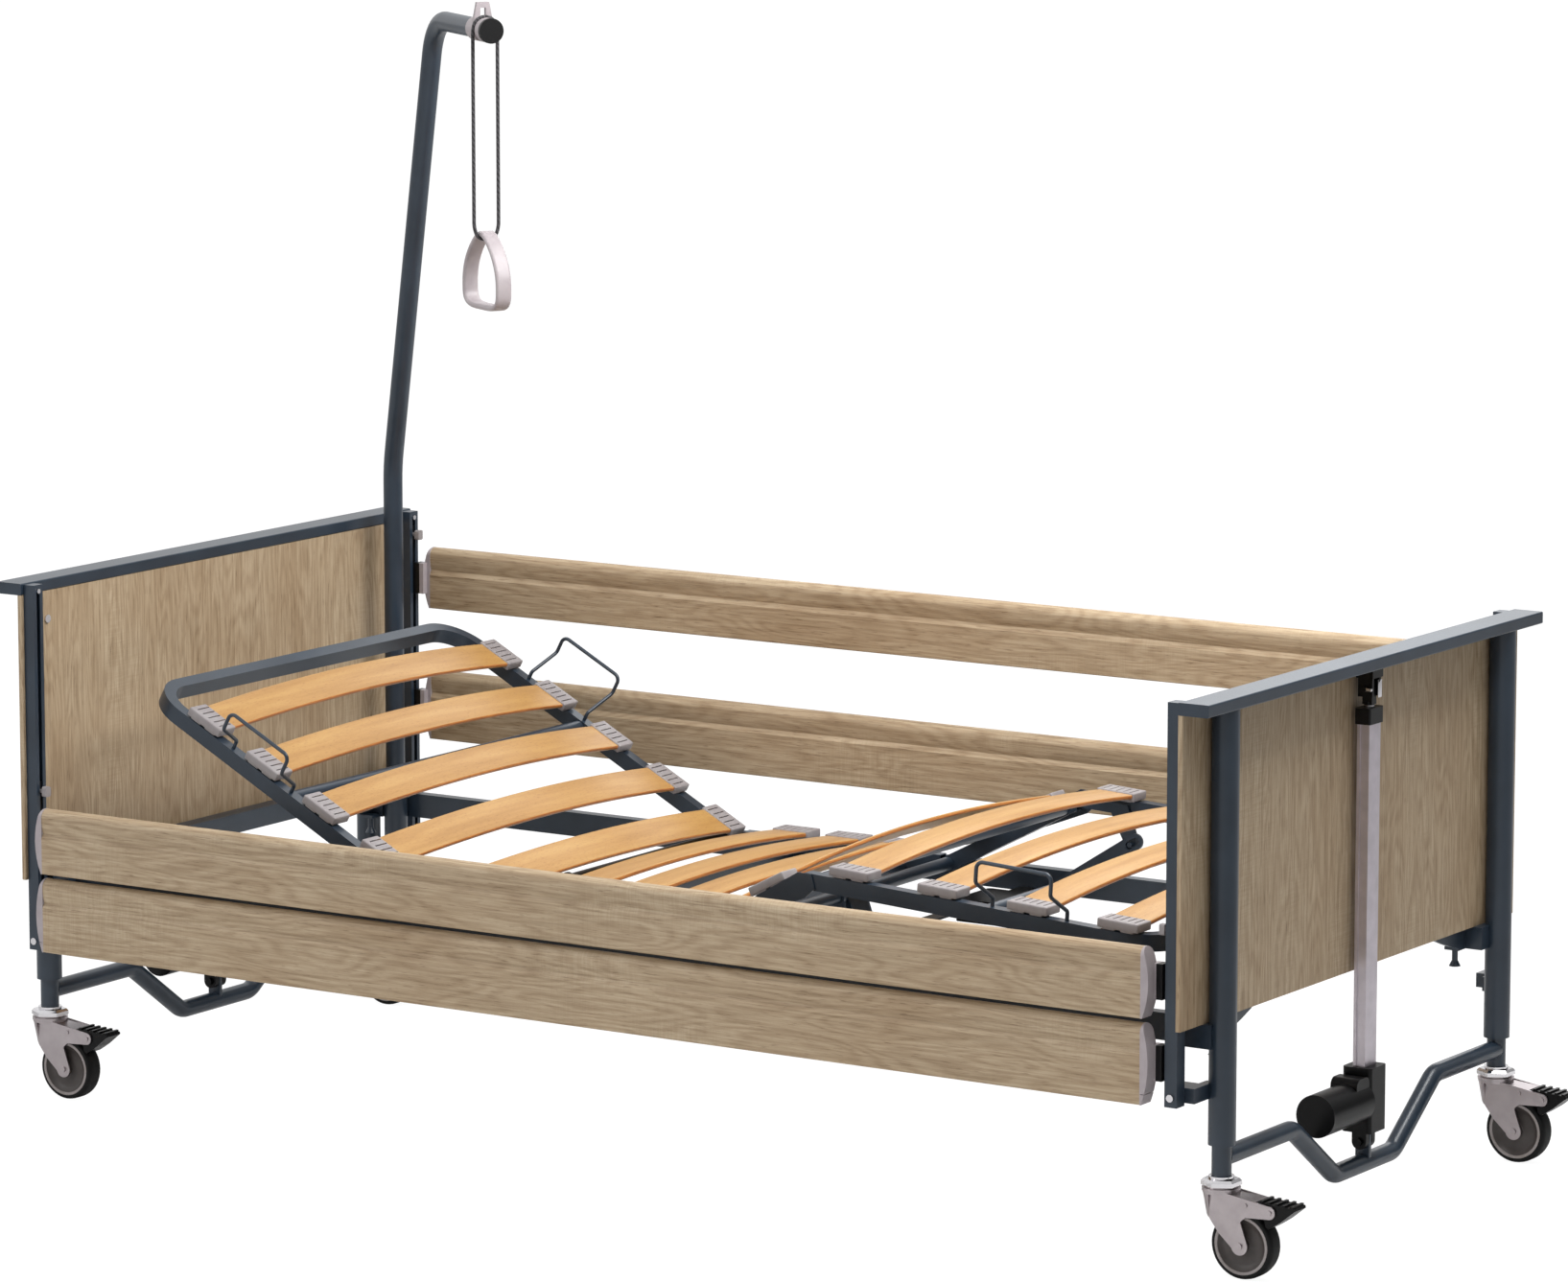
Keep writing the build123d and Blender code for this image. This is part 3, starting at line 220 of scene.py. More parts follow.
# %% [markdown]
# ### Sawn-oak laminate
# End boards and side boards are chipboard faced with printed melamine that copies sawn pale oak. Three
# things make it read as oak: growth rings that show as long pointed arches where the board is cut flat,
# fine grey pores along the grain, and here and there the faint chatter of a saw blade across it. The
# arches are the contour lines of a slow, stretched noise. A laminate is printed, so nearly all of this
# is colour, and only the pores are pressed a little into it.


# %% Oak laminate
def squeezed(along, ratio, others=1.0):
    """Scale for a pattern that is 1 / ratio times longer along axis number along."""
    return [ratio if axis == along else others for axis in range(3)]


def oak_laminate(name, along):
    """Printed oak whose grain runs along axis number along."""
    material, tree, shader = new_material(name, IOR=1.5, Specular_IOR_Level=0.35)
    place = add(tree, "ShaderNodeTexCoord", out="Object")
    arched = add(tree, "ShaderNodeMapping", {"Vector": place, "Scale": squeezed(along, 0.16)})
    slow = add(tree, "ShaderNodeTexNoise", {"Vector": arched, "Scale": every(90.0), "Detail": 2.5,
                                            "Roughness": 0.45})
    turns = add(tree, "ShaderNodeMath", {0: slow, 1: 150.0}, operation="MULTIPLY")
    wave = add(tree, "ShaderNodeMath", {0: turns}, operation="SINE")
    wave = add(tree, "ShaderNodeMapRange", {"Value": wave, "From Min": -1.0})
    rings = add(tree, "ShaderNodeValToRGB", {"Fac": wave},
                stops=[(0.05, "#9A856B"), (0.4, "#AD997E"), (0.9, "#B8A68C")])
    drawn = add(tree, "ShaderNodeMapping", {"Vector": place, "Scale": squeezed(along, 0.03)})
    streaks = add(tree, "ShaderNodeTexNoise", {"Vector": drawn, "Scale": every(4.5), "Detail": 5.0,
                                               "Roughness": 0.75})
    fine = add(tree, "ShaderNodeValToRGB", {"Fac": streaks},
               stops=[(0.36, "#8F7B61"), (0.5, "#AF9B80"), (0.64, "#C4B399")])
    grain = add(tree, "ShaderNodeMix", {"Factor": 0.6, 6: rings, 7: fine}, 2, data_type="RGBA")
    broad = add(tree, "ShaderNodeMapping", {"Vector": place, "Scale": squeezed(along, 0.4)})
    patches = add(tree, "ShaderNodeTexNoise", {"Vector": broad, "Scale": every(160.0), "Detail": 2.0,
                                               "Roughness": 0.55})
    tone = add(tree, "ShaderNodeValToRGB", {"Fac": patches},
               stops=[(0.3, "#E4DACE"), (0.5, "#F5F1EC"), (0.7, "#FFFFFF")])
    toned = add(tree, "ShaderNodeMix", {"Factor": 0.8, 6: grain, 7: tone}, 2, data_type="RGBA",
                blend_type="MULTIPLY")
    across = add(tree, "ShaderNodeMapping", {"Vector": place, "Scale": squeezed(along, 1.0, 0.05)})
    teeth = add(tree, "ShaderNodeTexNoise", {"Vector": across, "Scale": every(2.6), "Detail": 1.0,
                                             "Roughness": 0.55})
    chatter = add(tree, "ShaderNodeValToRGB", {"Fac": teeth}, stops=[(0.4, "#E6DFD4"), (0.6, "#FFFFFF")])
    where = add(tree, "ShaderNodeMapRange", {"Value": patches, "From Min": 0.52, "From Max": 0.66,
                                             "To Max": 0.35})
    sawn = add(tree, "ShaderNodeMix", {"Factor": where, 6: toned, 7: chatter}, 2, data_type="RGBA",
               blend_type="MULTIPLY")
    thin = add(tree, "ShaderNodeMapping", {"Vector": place, "Scale": squeezed(along, 0.06)})
    pores = add(tree, "ShaderNodeTexNoise", {"Vector": thin, "Scale": every(1.6), "Detail": 2.0,
                                             "Roughness": 0.5})
    dark = add(tree, "ShaderNodeValToRGB", {"Fac": pores}, stops=[(0.3, "#9A8770"), (0.4, "#FFFFFF")])
    board = add(tree, "ShaderNodeMix", {"Factor": 0.5, 6: sawn, 7: dark}, 2, data_type="RGBA",
                blend_type="MULTIPLY")
    rough = add(tree, "ShaderNodeMapRange", {"Value": streaks, "To Min": 0.6, "To Max": 0.42})
    pressed = add(tree, "ShaderNodeBump", {"Height": pores, "Distance": 0.1 * MM, "Strength": 0.3})
    tree.links.new(board, shader.inputs["Base Color"])
    tree.links.new(rough, shader.inputs["Roughness"])
    tree.links.new(pressed, shader.inputs["Normal"])
    return material


oak_upright = oak_laminate("oak_laminate_upright", 2)
oak_long = oak_laminate("oak_laminate_lengthwise", 0)
print("oak in 2 grain directions")

# %% [markdown]
# ### Varnished beech
# The sprung slats are glued from beech veneers and pressed into an arch, then varnished. Beech is
# warm and even, with short darker flecks along the grain. On the long edges the stacked veneers show.
# Those edge faces, which look sideways, are painted darker and redder than the faces that look up or
# down: painted shade, on top of the real plies.


# %% Beech
def beech(name):
    """Veneered beech: pale where a face looks up or down, darker and redder on its edges as painted shade."""
    material, tree, shader = new_material(name, IOR=1.5, Coat_Weight=0.2, Coat_Roughness=0.3)
    place = add(tree, "ShaderNodeTexCoord", out="Object")
    drawn = add(tree, "ShaderNodeMapping", {"Vector": place, "Scale": squeezed(1, 0.06)})
    figure = add(tree, "ShaderNodeTexNoise", {"Vector": drawn, "Scale": every(18.0), "Detail": 4.0,
                                              "Roughness": 0.6})
    face = add(tree, "ShaderNodeValToRGB", {"Fac": figure},
               stops=[(0.3, "#A27538"), (0.5, "#AF8243"), (0.72, "#BA9050")])
    layered = add(tree, "ShaderNodeMapping", {"Vector": place, "Scale": squeezed(1, 0.02)})
    plies = add(tree, "ShaderNodeTexNoise", {"Vector": layered, "Scale": every(1.4), "Detail": 1.0,
                                             "Roughness": 0.55})
    # The plies' colour, darker and redder than the face: the real veneer plies, with painted shade in their
    # tone.
    edge = add(tree, "ShaderNodeValToRGB", {"Fac": plies}, stops=[(0.35, "#9A5A26"), (0.6, "#BC7636")])
    # Faces that look sideways take the darker ply colour and faces that look up or down the pale one: painted
    # shade by direction.
    normal = add(tree, "ShaderNodeTexCoord", out="Normal")
    rise = add(tree, "ShaderNodeSeparateXYZ", {0: normal}, "Z")
    rise = add(tree, "ShaderNodeMath", {0: rise}, operation="ABSOLUTE")
    flat = add(tree, "ShaderNodeMapRange", {"Value": rise, "From Min": 0.45, "From Max": 0.72})
    colour = add(tree, "ShaderNodeMix", {"Factor": flat, 6: edge, 7: face}, 2, data_type="RGBA")
    short = add(tree, "ShaderNodeMapping", {"Vector": place, "Scale": squeezed(1, 0.18)})
    flecks = add(tree, "ShaderNodeTexNoise", {"Vector": short, "Scale": every(1.5), "Detail": 1.0,
                                              "Roughness": 0.55})
    fleck = add(tree, "ShaderNodeValToRGB", {"Fac": flecks}, stops=[(0.3, "#C9A98C"), (0.42, "#FFFFFF")])
    wood = add(tree, "ShaderNodeMix", {"Factor": 0.4, 6: colour, 7: fleck}, 2, data_type="RGBA",
               blend_type="MULTIPLY")
    rough = add(tree, "ShaderNodeMapRange", {"Value": figure, "To Min": 0.5, "To Max": 0.36})
    dents = add(tree, "ShaderNodeBump", {"Height": flecks, "Distance": 0.06 * MM, "Strength": 0.3})
    tree.links.new(wood, shader.inputs["Base Color"])
    tree.links.new(rough, shader.inputs["Roughness"])
    tree.links.new(dents, shader.inputs["Normal"])
    return material


beech_slat = beech("beech_varnished")
print(beech_slat.name)

# %% [markdown]
# ### Moulded plastics
# Slat holders, board ends, grip and drive housings are injection mouldings. The mould is spark
# eroded, which leaves a leather-like texture of half a millimetre and a soft sheen. Only the colour
# and the gloss change from one part to the next, so one recipe serves them all.


# %% Plastics
def moulded(name, colour, second, rough_low, rough_high, specular=0.5):
    """A moulded plastic between two close colours, with spark-eroded texture."""
    material, tree, shader = new_material(name, IOR=1.46, Specular_IOR_Level=specular)
    place = add(tree, "ShaderNodeTexCoord", out="Object")
    cloud = add(tree, "ShaderNodeTexNoise", {"Vector": place, "Scale": every(25.0), "Detail": 3.0,
                                             "Roughness": 0.55})
    pigment = add(tree, "ShaderNodeValToRGB", {"Fac": cloud}, stops=[(0.35, colour), (0.7, second)])
    spark = add(tree, "ShaderNodeTexNoise", {"Vector": place, "Scale": every(0.6), "Detail": 1.0,
                                             "Roughness": 0.55})
    rough = add(tree, "ShaderNodeMapRange", {"Value": spark, "To Min": rough_low, "To Max": rough_high})
    leather = add(tree, "ShaderNodeBump", {"Height": spark, "Distance": 0.04 * MM, "Strength": 0.3})
    tree.links.new(pigment, shader.inputs["Base Color"])
    tree.links.new(rough, shader.inputs["Roughness"])
    tree.links.new(leather, shader.inputs["Normal"])
    return material


holder_grey = moulded("polypropylene_grey", "#8A8384", "#959090", 0.38, 0.52)
light_grey = moulded("abs_light_grey", "#A39A9D", "#ADA5A7", 0.3, 0.42)
black_plastic = moulded("abs_black", "#09090A", "#0E0E0F", 0.26, 0.4, specular=0.2)
wheel_grey = moulded("nylon_wheel_grey", "#403A38", "#4A4442", 0.35, 0.5)
rim_grey = moulded("nylon_rim_light", "#8D8582", "#979090", 0.35, 0.5)
tyre_rubber = moulded("thermoplastic_rubber_black", "#0A0A0B", "#111112", 0.5, 0.7, specular=0.25)
print("plastics ready")

# %% [markdown]
# ### Bare and plated metals
# Forks are pressed from zinc-plated sheet, which keeps the faint lines of the rolling mill. Bearing
# cups and screws are chromed, and the drives' push rods are ground. A metal's look is mostly its
# roughness, so that is where the pattern goes.


# %% Metals
def metal(name, colour, second, rough_low, rough_high, stretch, line_mm, depth_mm):
    """A bright metal whose roughness varies along lines line_mm wide, drawn out by stretch."""
    material, tree, shader = new_material(name, Metallic=1.0)
    place = add(tree, "ShaderNodeTexCoord", out="Object")
    cloud = add(tree, "ShaderNodeTexNoise", {"Vector": place, "Scale": every(30.0), "Detail": 3.0,
                                             "Roughness": 0.55})
    plating = add(tree, "ShaderNodeValToRGB", {"Fac": cloud}, stops=[(0.35, colour), (0.7, second)])
    drawn = add(tree, "ShaderNodeMapping", {"Vector": place, "Scale": stretch})
    lines = add(tree, "ShaderNodeTexNoise", {"Vector": drawn, "Scale": every(line_mm), "Detail": 3.0,
                                             "Roughness": 0.55})
    rough = add(tree, "ShaderNodeMapRange", {"Value": lines, "To Min": rough_low, "To Max": rough_high})
    scratches = add(tree, "ShaderNodeBump", {"Height": lines, "Distance": depth_mm * MM, "Strength": 0.25})
    tree.links.new(plating, shader.inputs["Base Color"])
    tree.links.new(rough, shader.inputs["Roughness"])
    tree.links.new(scratches, shader.inputs["Normal"])
    return material


EVEN = (1.0, 1.0, 1.0)
zinc = metal("zinc_plated_sheet", "#A8A0A2", "#B4ACAE", 0.26, 0.38, (1.0, 1.0, 0.08), 1.2, 0.02)
chrome = metal("chrome_plate", "#D5D3D6", "#DEDDE0", 0.06, 0.14, EVEN, 6.0, 0.01)
ground_steel = metal("ground_steel_rod", "#B4B2B4", "#C2C0C2", 0.16, 0.3, EVEN, 2.0, 0.02)
print("metals ready")

# %% [markdown]
# ### One node, two finishes
# Some CAD nodes hold two real finishes: a pale board cap with its black slider, an aluminium profile
# with its black top cap, a clip with its black end plug. One material holds both and switches between
# them at a plane. How far a point lies beyond that plane is a dot product of its place with the
# plane's direction.


# %% Two finishes
def two_finishes(name, near_side, far_side, centre, direction, distance_mm, both_ways=False):
    """near_side and far_side are (colour, roughness, metallic); far_side shows beyond the plane."""
    material, tree, shader = new_material(name, Specular_IOR_Level=0.3)
    place = add(tree, "ShaderNodeTexCoord", out="Object")
    offset = add(tree, "ShaderNodeVectorMath", {0: place, 1: centre}, operation="SUBTRACT")
    reach = add(tree, "ShaderNodeVectorMath", {0: offset, 1: direction}, "Value", operation="DOT_PRODUCT")
    if both_ways:
        reach = add(tree, "ShaderNodeMath", {0: reach}, operation="ABSOLUTE")
    mask = add(tree, "ShaderNodeMath", {0: reach, 1: distance_mm * MM}, operation="GREATER_THAN")
    cloud = add(tree, "ShaderNodeTexNoise", {"Vector": place, "Scale": every(25.0), "Detail": 3.0,
                                             "Roughness": 0.55})
    shade = add(tree, "ShaderNodeValToRGB", {"Fac": cloud}, stops=[(0.3, "#F0F0F0"), (0.7, "#FFFFFF")])
    flat = add(tree, "ShaderNodeMix", {"Factor": mask, 6: linear(near_side[0]), 7: linear(far_side[0])}, 2,
               data_type="RGBA")
    colour = add(tree, "ShaderNodeMix", {"Factor": 1.0, 6: flat, 7: shade}, 2, data_type="RGBA",
                 blend_type="MULTIPLY")
    spark = add(tree, "ShaderNodeTexNoise", {"Vector": place, "Scale": every(0.6), "Detail": 1.0,
                                             "Roughness": 0.55})
    base = add(tree, "ShaderNodeMapRange", {"Value": mask, "To Min": near_side[1], "To Max": far_side[1]})
    vary = add(tree, "ShaderNodeMapRange", {"Value": spark, "To Min": -0.06, "To Max": 0.06})
    rough = add(tree, "ShaderNodeMath", {0: base, 1: vary}, operation="ADD")
    shine = add(tree, "ShaderNodeMapRange", {"Value": mask, "To Min": near_side[2], "To Max": far_side[2]})
    leather = add(tree, "ShaderNodeBump", {"Height": spark, "Distance": 0.04 * MM, "Strength": 0.3})
    tree.links.new(colour, shader.inputs["Base Color"])
    tree.links.new(rough, shader.inputs["Roughness"])
    tree.links.new(shine, shader.inputs["Metallic"])
    tree.links.new(leather, shader.inputs["Normal"])
    return material


BLACK = ("#0A0A0B", 0.38, 0.0)
PALE = ("#ABA2A5", 0.38, 0.0)
ALUMINIUM = ("#D6CFD6", 0.48, 1.0)
GROUND = ("#BBB9BB", 0.22, 1.0)
UP = Vector((0, 0, 1))
ORIGIN = (0, 0, 0)
board_low, board_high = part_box("near_upper_board")
MIDDLE = Vector(((board_low[0] + board_high[0]) / 2, 0.0, 0.0))
BOARD_HALF = (board_high[0] - board_low[0]) / 2 / MM
CAP_BULGE = 14.0
LIFT_CAP_Z = 738.0
ROD_BRACKET_Z = 765.0
POLE = Vector((-1.03425, 0.394, 0.0))
ARM_HEADING = math.radians(-37.4)
ARM_REACH = 572.0
PLUG_LENGTH = 8.2
along_arm = Vector((math.cos(ARM_HEADING), math.sin(ARM_HEADING), 0.0))
board_end = two_finishes("abs_cap_and_slider", PALE, BLACK, MIDDLE, (1, 0, 0), BOARD_HALF + CAP_BULGE, True)
lift_top = two_finishes("aluminium_and_cap", ALUMINIUM, BLACK, ORIGIN, UP, LIFT_CAP_Z)
rod_head = two_finishes("steel_and_bracket", GROUND, BLACK, ORIGIN, UP, ROD_BRACKET_Z)
clip_plug = two_finishes("abs_clip_and_plug", PALE, BLACK, POLE, along_arm, ARM_REACH - PLUG_LENGTH)
print("bed's middle at", round(MIDDLE.x, 5), "boards reach", round(BOARD_HALF), "mm")

# %% [markdown]
# ### Give the CAD parts their finish
# A CAD part whose shape is already right only needs its material. Each node keeps its mesh, and its
# one material slot is pointed at the finish.


# %% Finish the CAD parts
def finish_nodes(material, *names):
    for name in names:
        mesh = nodes[name].data
        mesh.materials.clear()
        mesh.materials.append(material)


SIDES = ("near", "far")
ENDS = ("head", "foot")
CASTERS = [f"{end}_{side}" for end in ENDS for side in SIDES]
finish_nodes(anthracite, "cap_rails", "columns", "guide_posts", "main_frame", "head_undercarriage",
             "foot_undercarriage", "back_frame", "back_bows", "thigh_frame", "calf_frame", "calf_bows",
             "calf_struts", "trapeze_pole")
finish_nodes(oak_upright, "end_panels")
finish_nodes(oak_long, *[f"{side}_{level}_board" for side in SIDES for level in ("upper", "lower")])
finish_nodes(board_end, *[f"{side}_{level}_ends" for side in SIDES for level in ("upper", "lower")])
finish_nodes(beech_slat, "seat_slats", "back_slats", "thigh_slats", "calf_slats")
finish_nodes(holder_grey, "seat_caps", "back_caps", "thigh_caps", "calf_caps")
finish_nodes(holder_grey, *[f"{side}_{end}_button" for side in SIDES for end in ENDS])
finish_nodes(light_grey, "grip_handle")
finish_nodes(clip_plug, "arm_clip")
finish_nodes(black_plastic, "head_lift_motor", "foot_lift_motor", "back_motor", "leg_motor", "control_box")
finish_nodes(lift_top, "head_lift_profile", "foot_lift_profile")
finish_nodes(rod_head, "lift_rods")
finish_nodes(ground_steel, "back_rod", "leg_rod")
finish_nodes(chrome, "fasteners")
finish_nodes(zinc, *[f"{caster}_caster_fork" for caster in CASTERS])
finish_nodes(black_plastic, *[f"{caster}_caster_pedal" for caster in CASTERS])
finish_nodes(tyre_rubber, *[f"{caster}_caster_wheel" for caster in CASTERS])
print(len(nodes), "nodes finished")

# %% [markdown]
# ## Pieces with more detail than the CAD parts
# Each new piece is drawn in millimetres in a bmesh, turned into its place, and written to a mesh whose
# object stays at the origin. A section's pieces are drawn along its own u axis, which starts at the
# hinge, so they come out the same on a flat seat and on a raised backrest.


# %% Mesh helpers
SHARP_ANGLE = math.radians(38)


def piece_from(shape, name, material, body, slot, *replaced):
    """Turn a bmesh in millimetres into a finished piece in metres that rides on a body."""
    bmesh.ops.recalc_face_normals(shape, faces=shape.faces)
    bmesh.ops.scale(shape, vec=(MM, MM, MM), verts=shape.verts)
    mesh = bpy.data.meshes.new(name)
    shape.to_mesh(mesh)
    shape.free()
    mesh.materials.append(material)
    mesh.shade_smooth()
    mesh.set_sharp_from_angle(angle=SHARP_ANGLE)
    piece = bpy.data.objects.new(name, mesh)
    bpy.context.scene.collection.objects.link(piece)
    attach(piece, body)
    if replaced:
        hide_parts(*replaced)
    return piece


def box_shape(shape, low, high, bevel=0.0, segments=2):
    """Add a box to a bmesh, with its edges rounded where bevel is given."""
    cube = bmesh.ops.create_cube(shape, size=1.0)["verts"]
    size = Vector(high) - Vector(low)
    bmesh.ops.scale(shape, vec=size, verts=cube)
    bmesh.ops.translate(shape, vec=(Vector(high) + Vector(low)) / 2, verts=cube)
    if bevel:
        edges = list({edge for vert in cube for edge in vert.link_edges})
        bmesh.ops.bevel(shape, geom=edges, affect="EDGES", offset=bevel, segments=segments, profile=0.5,
                        material=-1)


def cut_across(shape, point, normal):
    """Cut every face of a bmesh where a plane meets it, and keep both sides."""
    geometry = list(shape.verts) + list(shape.edges) + list(shape.faces)
    bmesh.ops.bisect_plane(shape, geom=geometry, plane_co=point, plane_no=normal)


def new_verts(made):
    """The vertices among the things that an operator made."""
    return [item for item in made["geom"] if isinstance(item, bmesh.types.BMVert)]


def append_shape(target, part, place):
    """Copy a small bmesh into a larger one, moved by a matrix."""
    copied = bpy.data.meshes.new("copied")
    part.to_mesh(copied)
    copied.transform(place)
    target.from_mesh(copied)
    bpy.data.meshes.remove(copied)


def section_place(hinge_x, hinge_z, angle, toward):
    """Matrix from a section's (u, y, v) to the bed: u runs from the hinge along the section."""
    turn = math.radians(angle)
    u = Vector((toward * math.cos(turn), 0, math.sin(turn)))
    v = Vector((-toward * math.sin(turn), 0, math.cos(turn)))
    return Matrix(((u.x, 0, v.x, hinge_x), (0, 1, 0, 0), (u.z, 0, v.z, hinge_z), (0, 0, 0, 1)))


HINGE_Z = 365.5
BACK_ANGLE = 28.0
THIGH_ANGLE = 27.5
CALF_ANGLE = -3.4
# Each section's body, the place of its hinge, and its slats' distances from that hinge.
SECTIONS = {
    "seat": ("bed_frame", section_place(-49.25, HINGE_Z, 0.0, 1), (-181.0, -80.0, 20.0)),
    "back": ("back_section", section_place(-367.45, HINGE_Z, BACK_ANGLE, -1),
             (17.7, 142.9, 268.0, 393.2, 518.4)),
    "thigh": ("thigh_section", section_place(57.25, HINGE_Z, THIGH_ANGLE, 1), (80.0, 209.0)),
    "calf": ("calf_section", section_place(302.952, 493.404, CALF_ANGLE, 1), (72.0, 225.0, 378.0, 530.0)),
}
print(len(SECTIONS), "sections")

# %% [markdown]
# ### Sprung slats
# A slat is pressed in a curved mould, and its long edges are milled round afterwards. The piece starts
# as a flat lath with rounded edges, is cut across every few centimetres, and is then bent: each cut
# rises by what is left of the arch at its distance from the middle.

# %% Slats
SLAT_HALF = 386.0
SLAT_HALF_WIDTH = 31.0
SLAT_ROUND = 2.4
SLAT_BASE = 18.2
SLAT_THICK = 7.0
SLAT_RISE = 20.0
SLAT_CUTS = 24


def bent_slat():
    """One slat, lying across the bed over the origin."""
    lath = bmesh.new()
    box_shape(lath, (-SLAT_HALF_WIDTH, -SLAT_HALF, 0), (SLAT_HALF_WIDTH, SLAT_HALF, SLAT_THICK))
    long_edges = [edge for edge in lath.edges if abs(edge.verts[0].co.y - edge.verts[1].co.y) > SLAT_HALF]
    bmesh.ops.bevel(lath, geom=long_edges, affect="EDGES", offset=SLAT_ROUND, segments=3, profile=0.5,
                    material=-1)
    for index in range(1, SLAT_CUTS):
        cut_across(lath, (0, -SLAT_HALF + 2 * SLAT_HALF * index / SLAT_CUTS, 0), (0, 1, 0))
    for vert in lath.verts:
        rise = SLAT_BASE + SLAT_RISE * (1 - (vert.co.y / SLAT_HALF) ** 2)
        bmesh.ops.translate(lath, vec=(0, 0, rise), verts=[vert])
    return lath


slat = bent_slat()
for section, (body, place, stations) in SECTIONS.items():
    row = bmesh.new()
    for station in stations:
        append_shape(row, slat, place @ Matrix.Translation((station, 0, 0)))
    piece_from(row, f"{section}_slats_beech", beech_slat, body, "beech", f"{section}_slats")
slat.free()
print("slats", {section: len(stations) for section, (_, _, stations) in SECTIONS.items()})

# %% [markdown]
# ### Slat holders
# Each end of a slat sits in a soft polypropylene holder with five sipes moulded into its top, which let
# it flex, and two rounded saddles that clip over the steel tube. The sipes are cut with planes, and the
# strips between the cuts are pushed down into the block.

# %% Holders
HOLDER_HALF = 34.0
HOLDER_INNER = 371.0
HOLDER_OUTER = 411.0
HOLDER_LOW = 15.0
HOLDER_TOP = 28.8
SADDLE_LOW = 12.7
SIPE_START = HOLDER_INNER + 3.0
SIPE_END = HOLDER_OUTER - 8.0
SIPE_DEPTH = 4.5
SIPE_HALF = 1.15
SADDLE_PLACES = (-15.0, 15.0)
SADDLE_HALF = 11.0
SADDLE_TOP = 20.0
SIPE_CENTRES = [(index - 2) * 12.0 for index in range(5)]


def slat_holder():
    """One holder, at the far end of a slat that lies over the origin."""
    block = bmesh.new()
    box_shape(block, (-HOLDER_HALF, HOLDER_INNER, HOLDER_LOW), (HOLDER_HALF, HOLDER_OUTER, HOLDER_TOP),
              2.2, 3)
    for centre in SIPE_CENTRES:
        cut_across(block, (centre - SIPE_HALF, 0, 0), (1, 0, 0))
        cut_across(block, (centre + SIPE_HALF, 0, 0), (1, 0, 0))
    cut_across(block, (0, SIPE_START, 0), (0, 1, 0))
    cut_across(block, (0, SIPE_END, 0), (0, 1, 0))
    strips = []
    for face in block.faces:
        middle = face.calc_center_median()
        in_sipe = min(abs(middle.x - centre) for centre in SIPE_CENTRES) < SIPE_HALF
        if face.normal.z > 0.99 and in_sipe and SIPE_START < middle.y < SIPE_END:
            strips.append(face)
    sunk = bmesh.ops.extrude_face_region(block, geom=strips)
    bmesh.ops.translate(block, vec=(0, 0, -SIPE_DEPTH), verts=new_verts(sunk))
    bmesh.ops.delete(block, geom=strips, context="FACES")
    for centre in SADDLE_PLACES:
        box_shape(block, (centre - SADDLE_HALF, HOLDER_INNER + 4, SADDLE_LOW),
                  (centre + SADDLE_HALF, HOLDER_OUTER - 0.6, SADDLE_TOP), 2.0)
    return block


holder = slat_holder()
for section, (body, place, stations) in SECTIONS.items():
    row = bmesh.new()
    for station in stations:
        for turn in (0.0, math.pi):
            at_station = place @ Matrix.Translation((station, 0, 0))
            append_shape(row, holder, at_station @ Matrix.Rotation(turn, 4, "Z"))
    piece_from(row, f"{section}_slat_holders", holder_grey, body, "cap_plastic", f"{section}_caps")
holder.free()
print("sipes", SIPE_CENTRES)

# %% [markdown]
# ### Caster wheels
# A wheel is a black rubber tyre on a dished grey body with a lighter rim. All three are turned shapes,
# so each is one outline spun round the axle.


# %% Wheels
def turned(outline, centre, axis, steps=48):
    """Spin a closed outline of (radius, along) points round an axis through centre."""
    shape = bmesh.new()
    axis = Vector(axis).normalized()
    side = axis.orthogonal().normalized()
    verts = [shape.verts.new(Vector(centre) + side * radius + axis * along) for radius, along in outline]
    edges = [shape.edges.new((verts[i], verts[(i + 1) % len(verts)])) for i in range(len(verts))]
    bmesh.ops.spin(shape, geom=verts + edges, cent=centre, axis=axis, dvec=(0, 0, 0), angle=2 * math.pi,
                   steps=steps, use_merge=True)
    return shape


def both_faces(half_outline):
    """Mirror an outline's points from the wheel's near face to its far one."""
    return half_outline + [(radius, -along) for radius, along in reversed(half_outline)]


TYRE = both_faces([(43.0, 15.4), (45.0, 15.8), (47.4, 14.6), (49.2, 12.0), (49.9, 8.0), (50.0, 3.0)])
DISC = both_faces([(5.3, 16.8), (9.5, 16.9), (10.8, 15.8), (11.0, 10.0), (13.0, 8.8), (29.0, 8.4),
                   (33.0, 9.4), (38.2, 14.6)])
RIM = both_faces([(38.3, 14.4), (38.8, 15.4), (42.4, 15.7), (43.0, 15.2)])
for caster in CASTERS:
    low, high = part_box(f"{caster}_caster_wheel")
    axle = [(low[axis] + high[axis]) / 2 / MM for axis in range(3)]
    for name, outline, material, slot, replaced in (
            ("tyre", TYRE, tyre_rubber, "tyre", [f"{caster}_caster_wheel"]),
            ("disc", DISC, wheel_grey, "tyre", []),
            ("rim", RIM, rim_grey, "tyre", [])):
        piece_from(turned(outline, axle, (0, 1, 0)), f"{caster}_wheel_{name}", material,
                   f"{caster}_wheel", slot, *replaced)
print("wheels at height", round(axle[2], 1), "mm")

# %% [markdown]
# ### Undercarriages
# Each end stands on two telescoping legs joined by a tube that is cranked down in the middle, under the
# lift. The tube is bent on a former, so its centre line is straight runs joined by arcs. Here a circle
# of edges is extruded from station to station along that line, and each ring is turned with the path.
# A chromed hexagonal collar closes each leg above its caster.

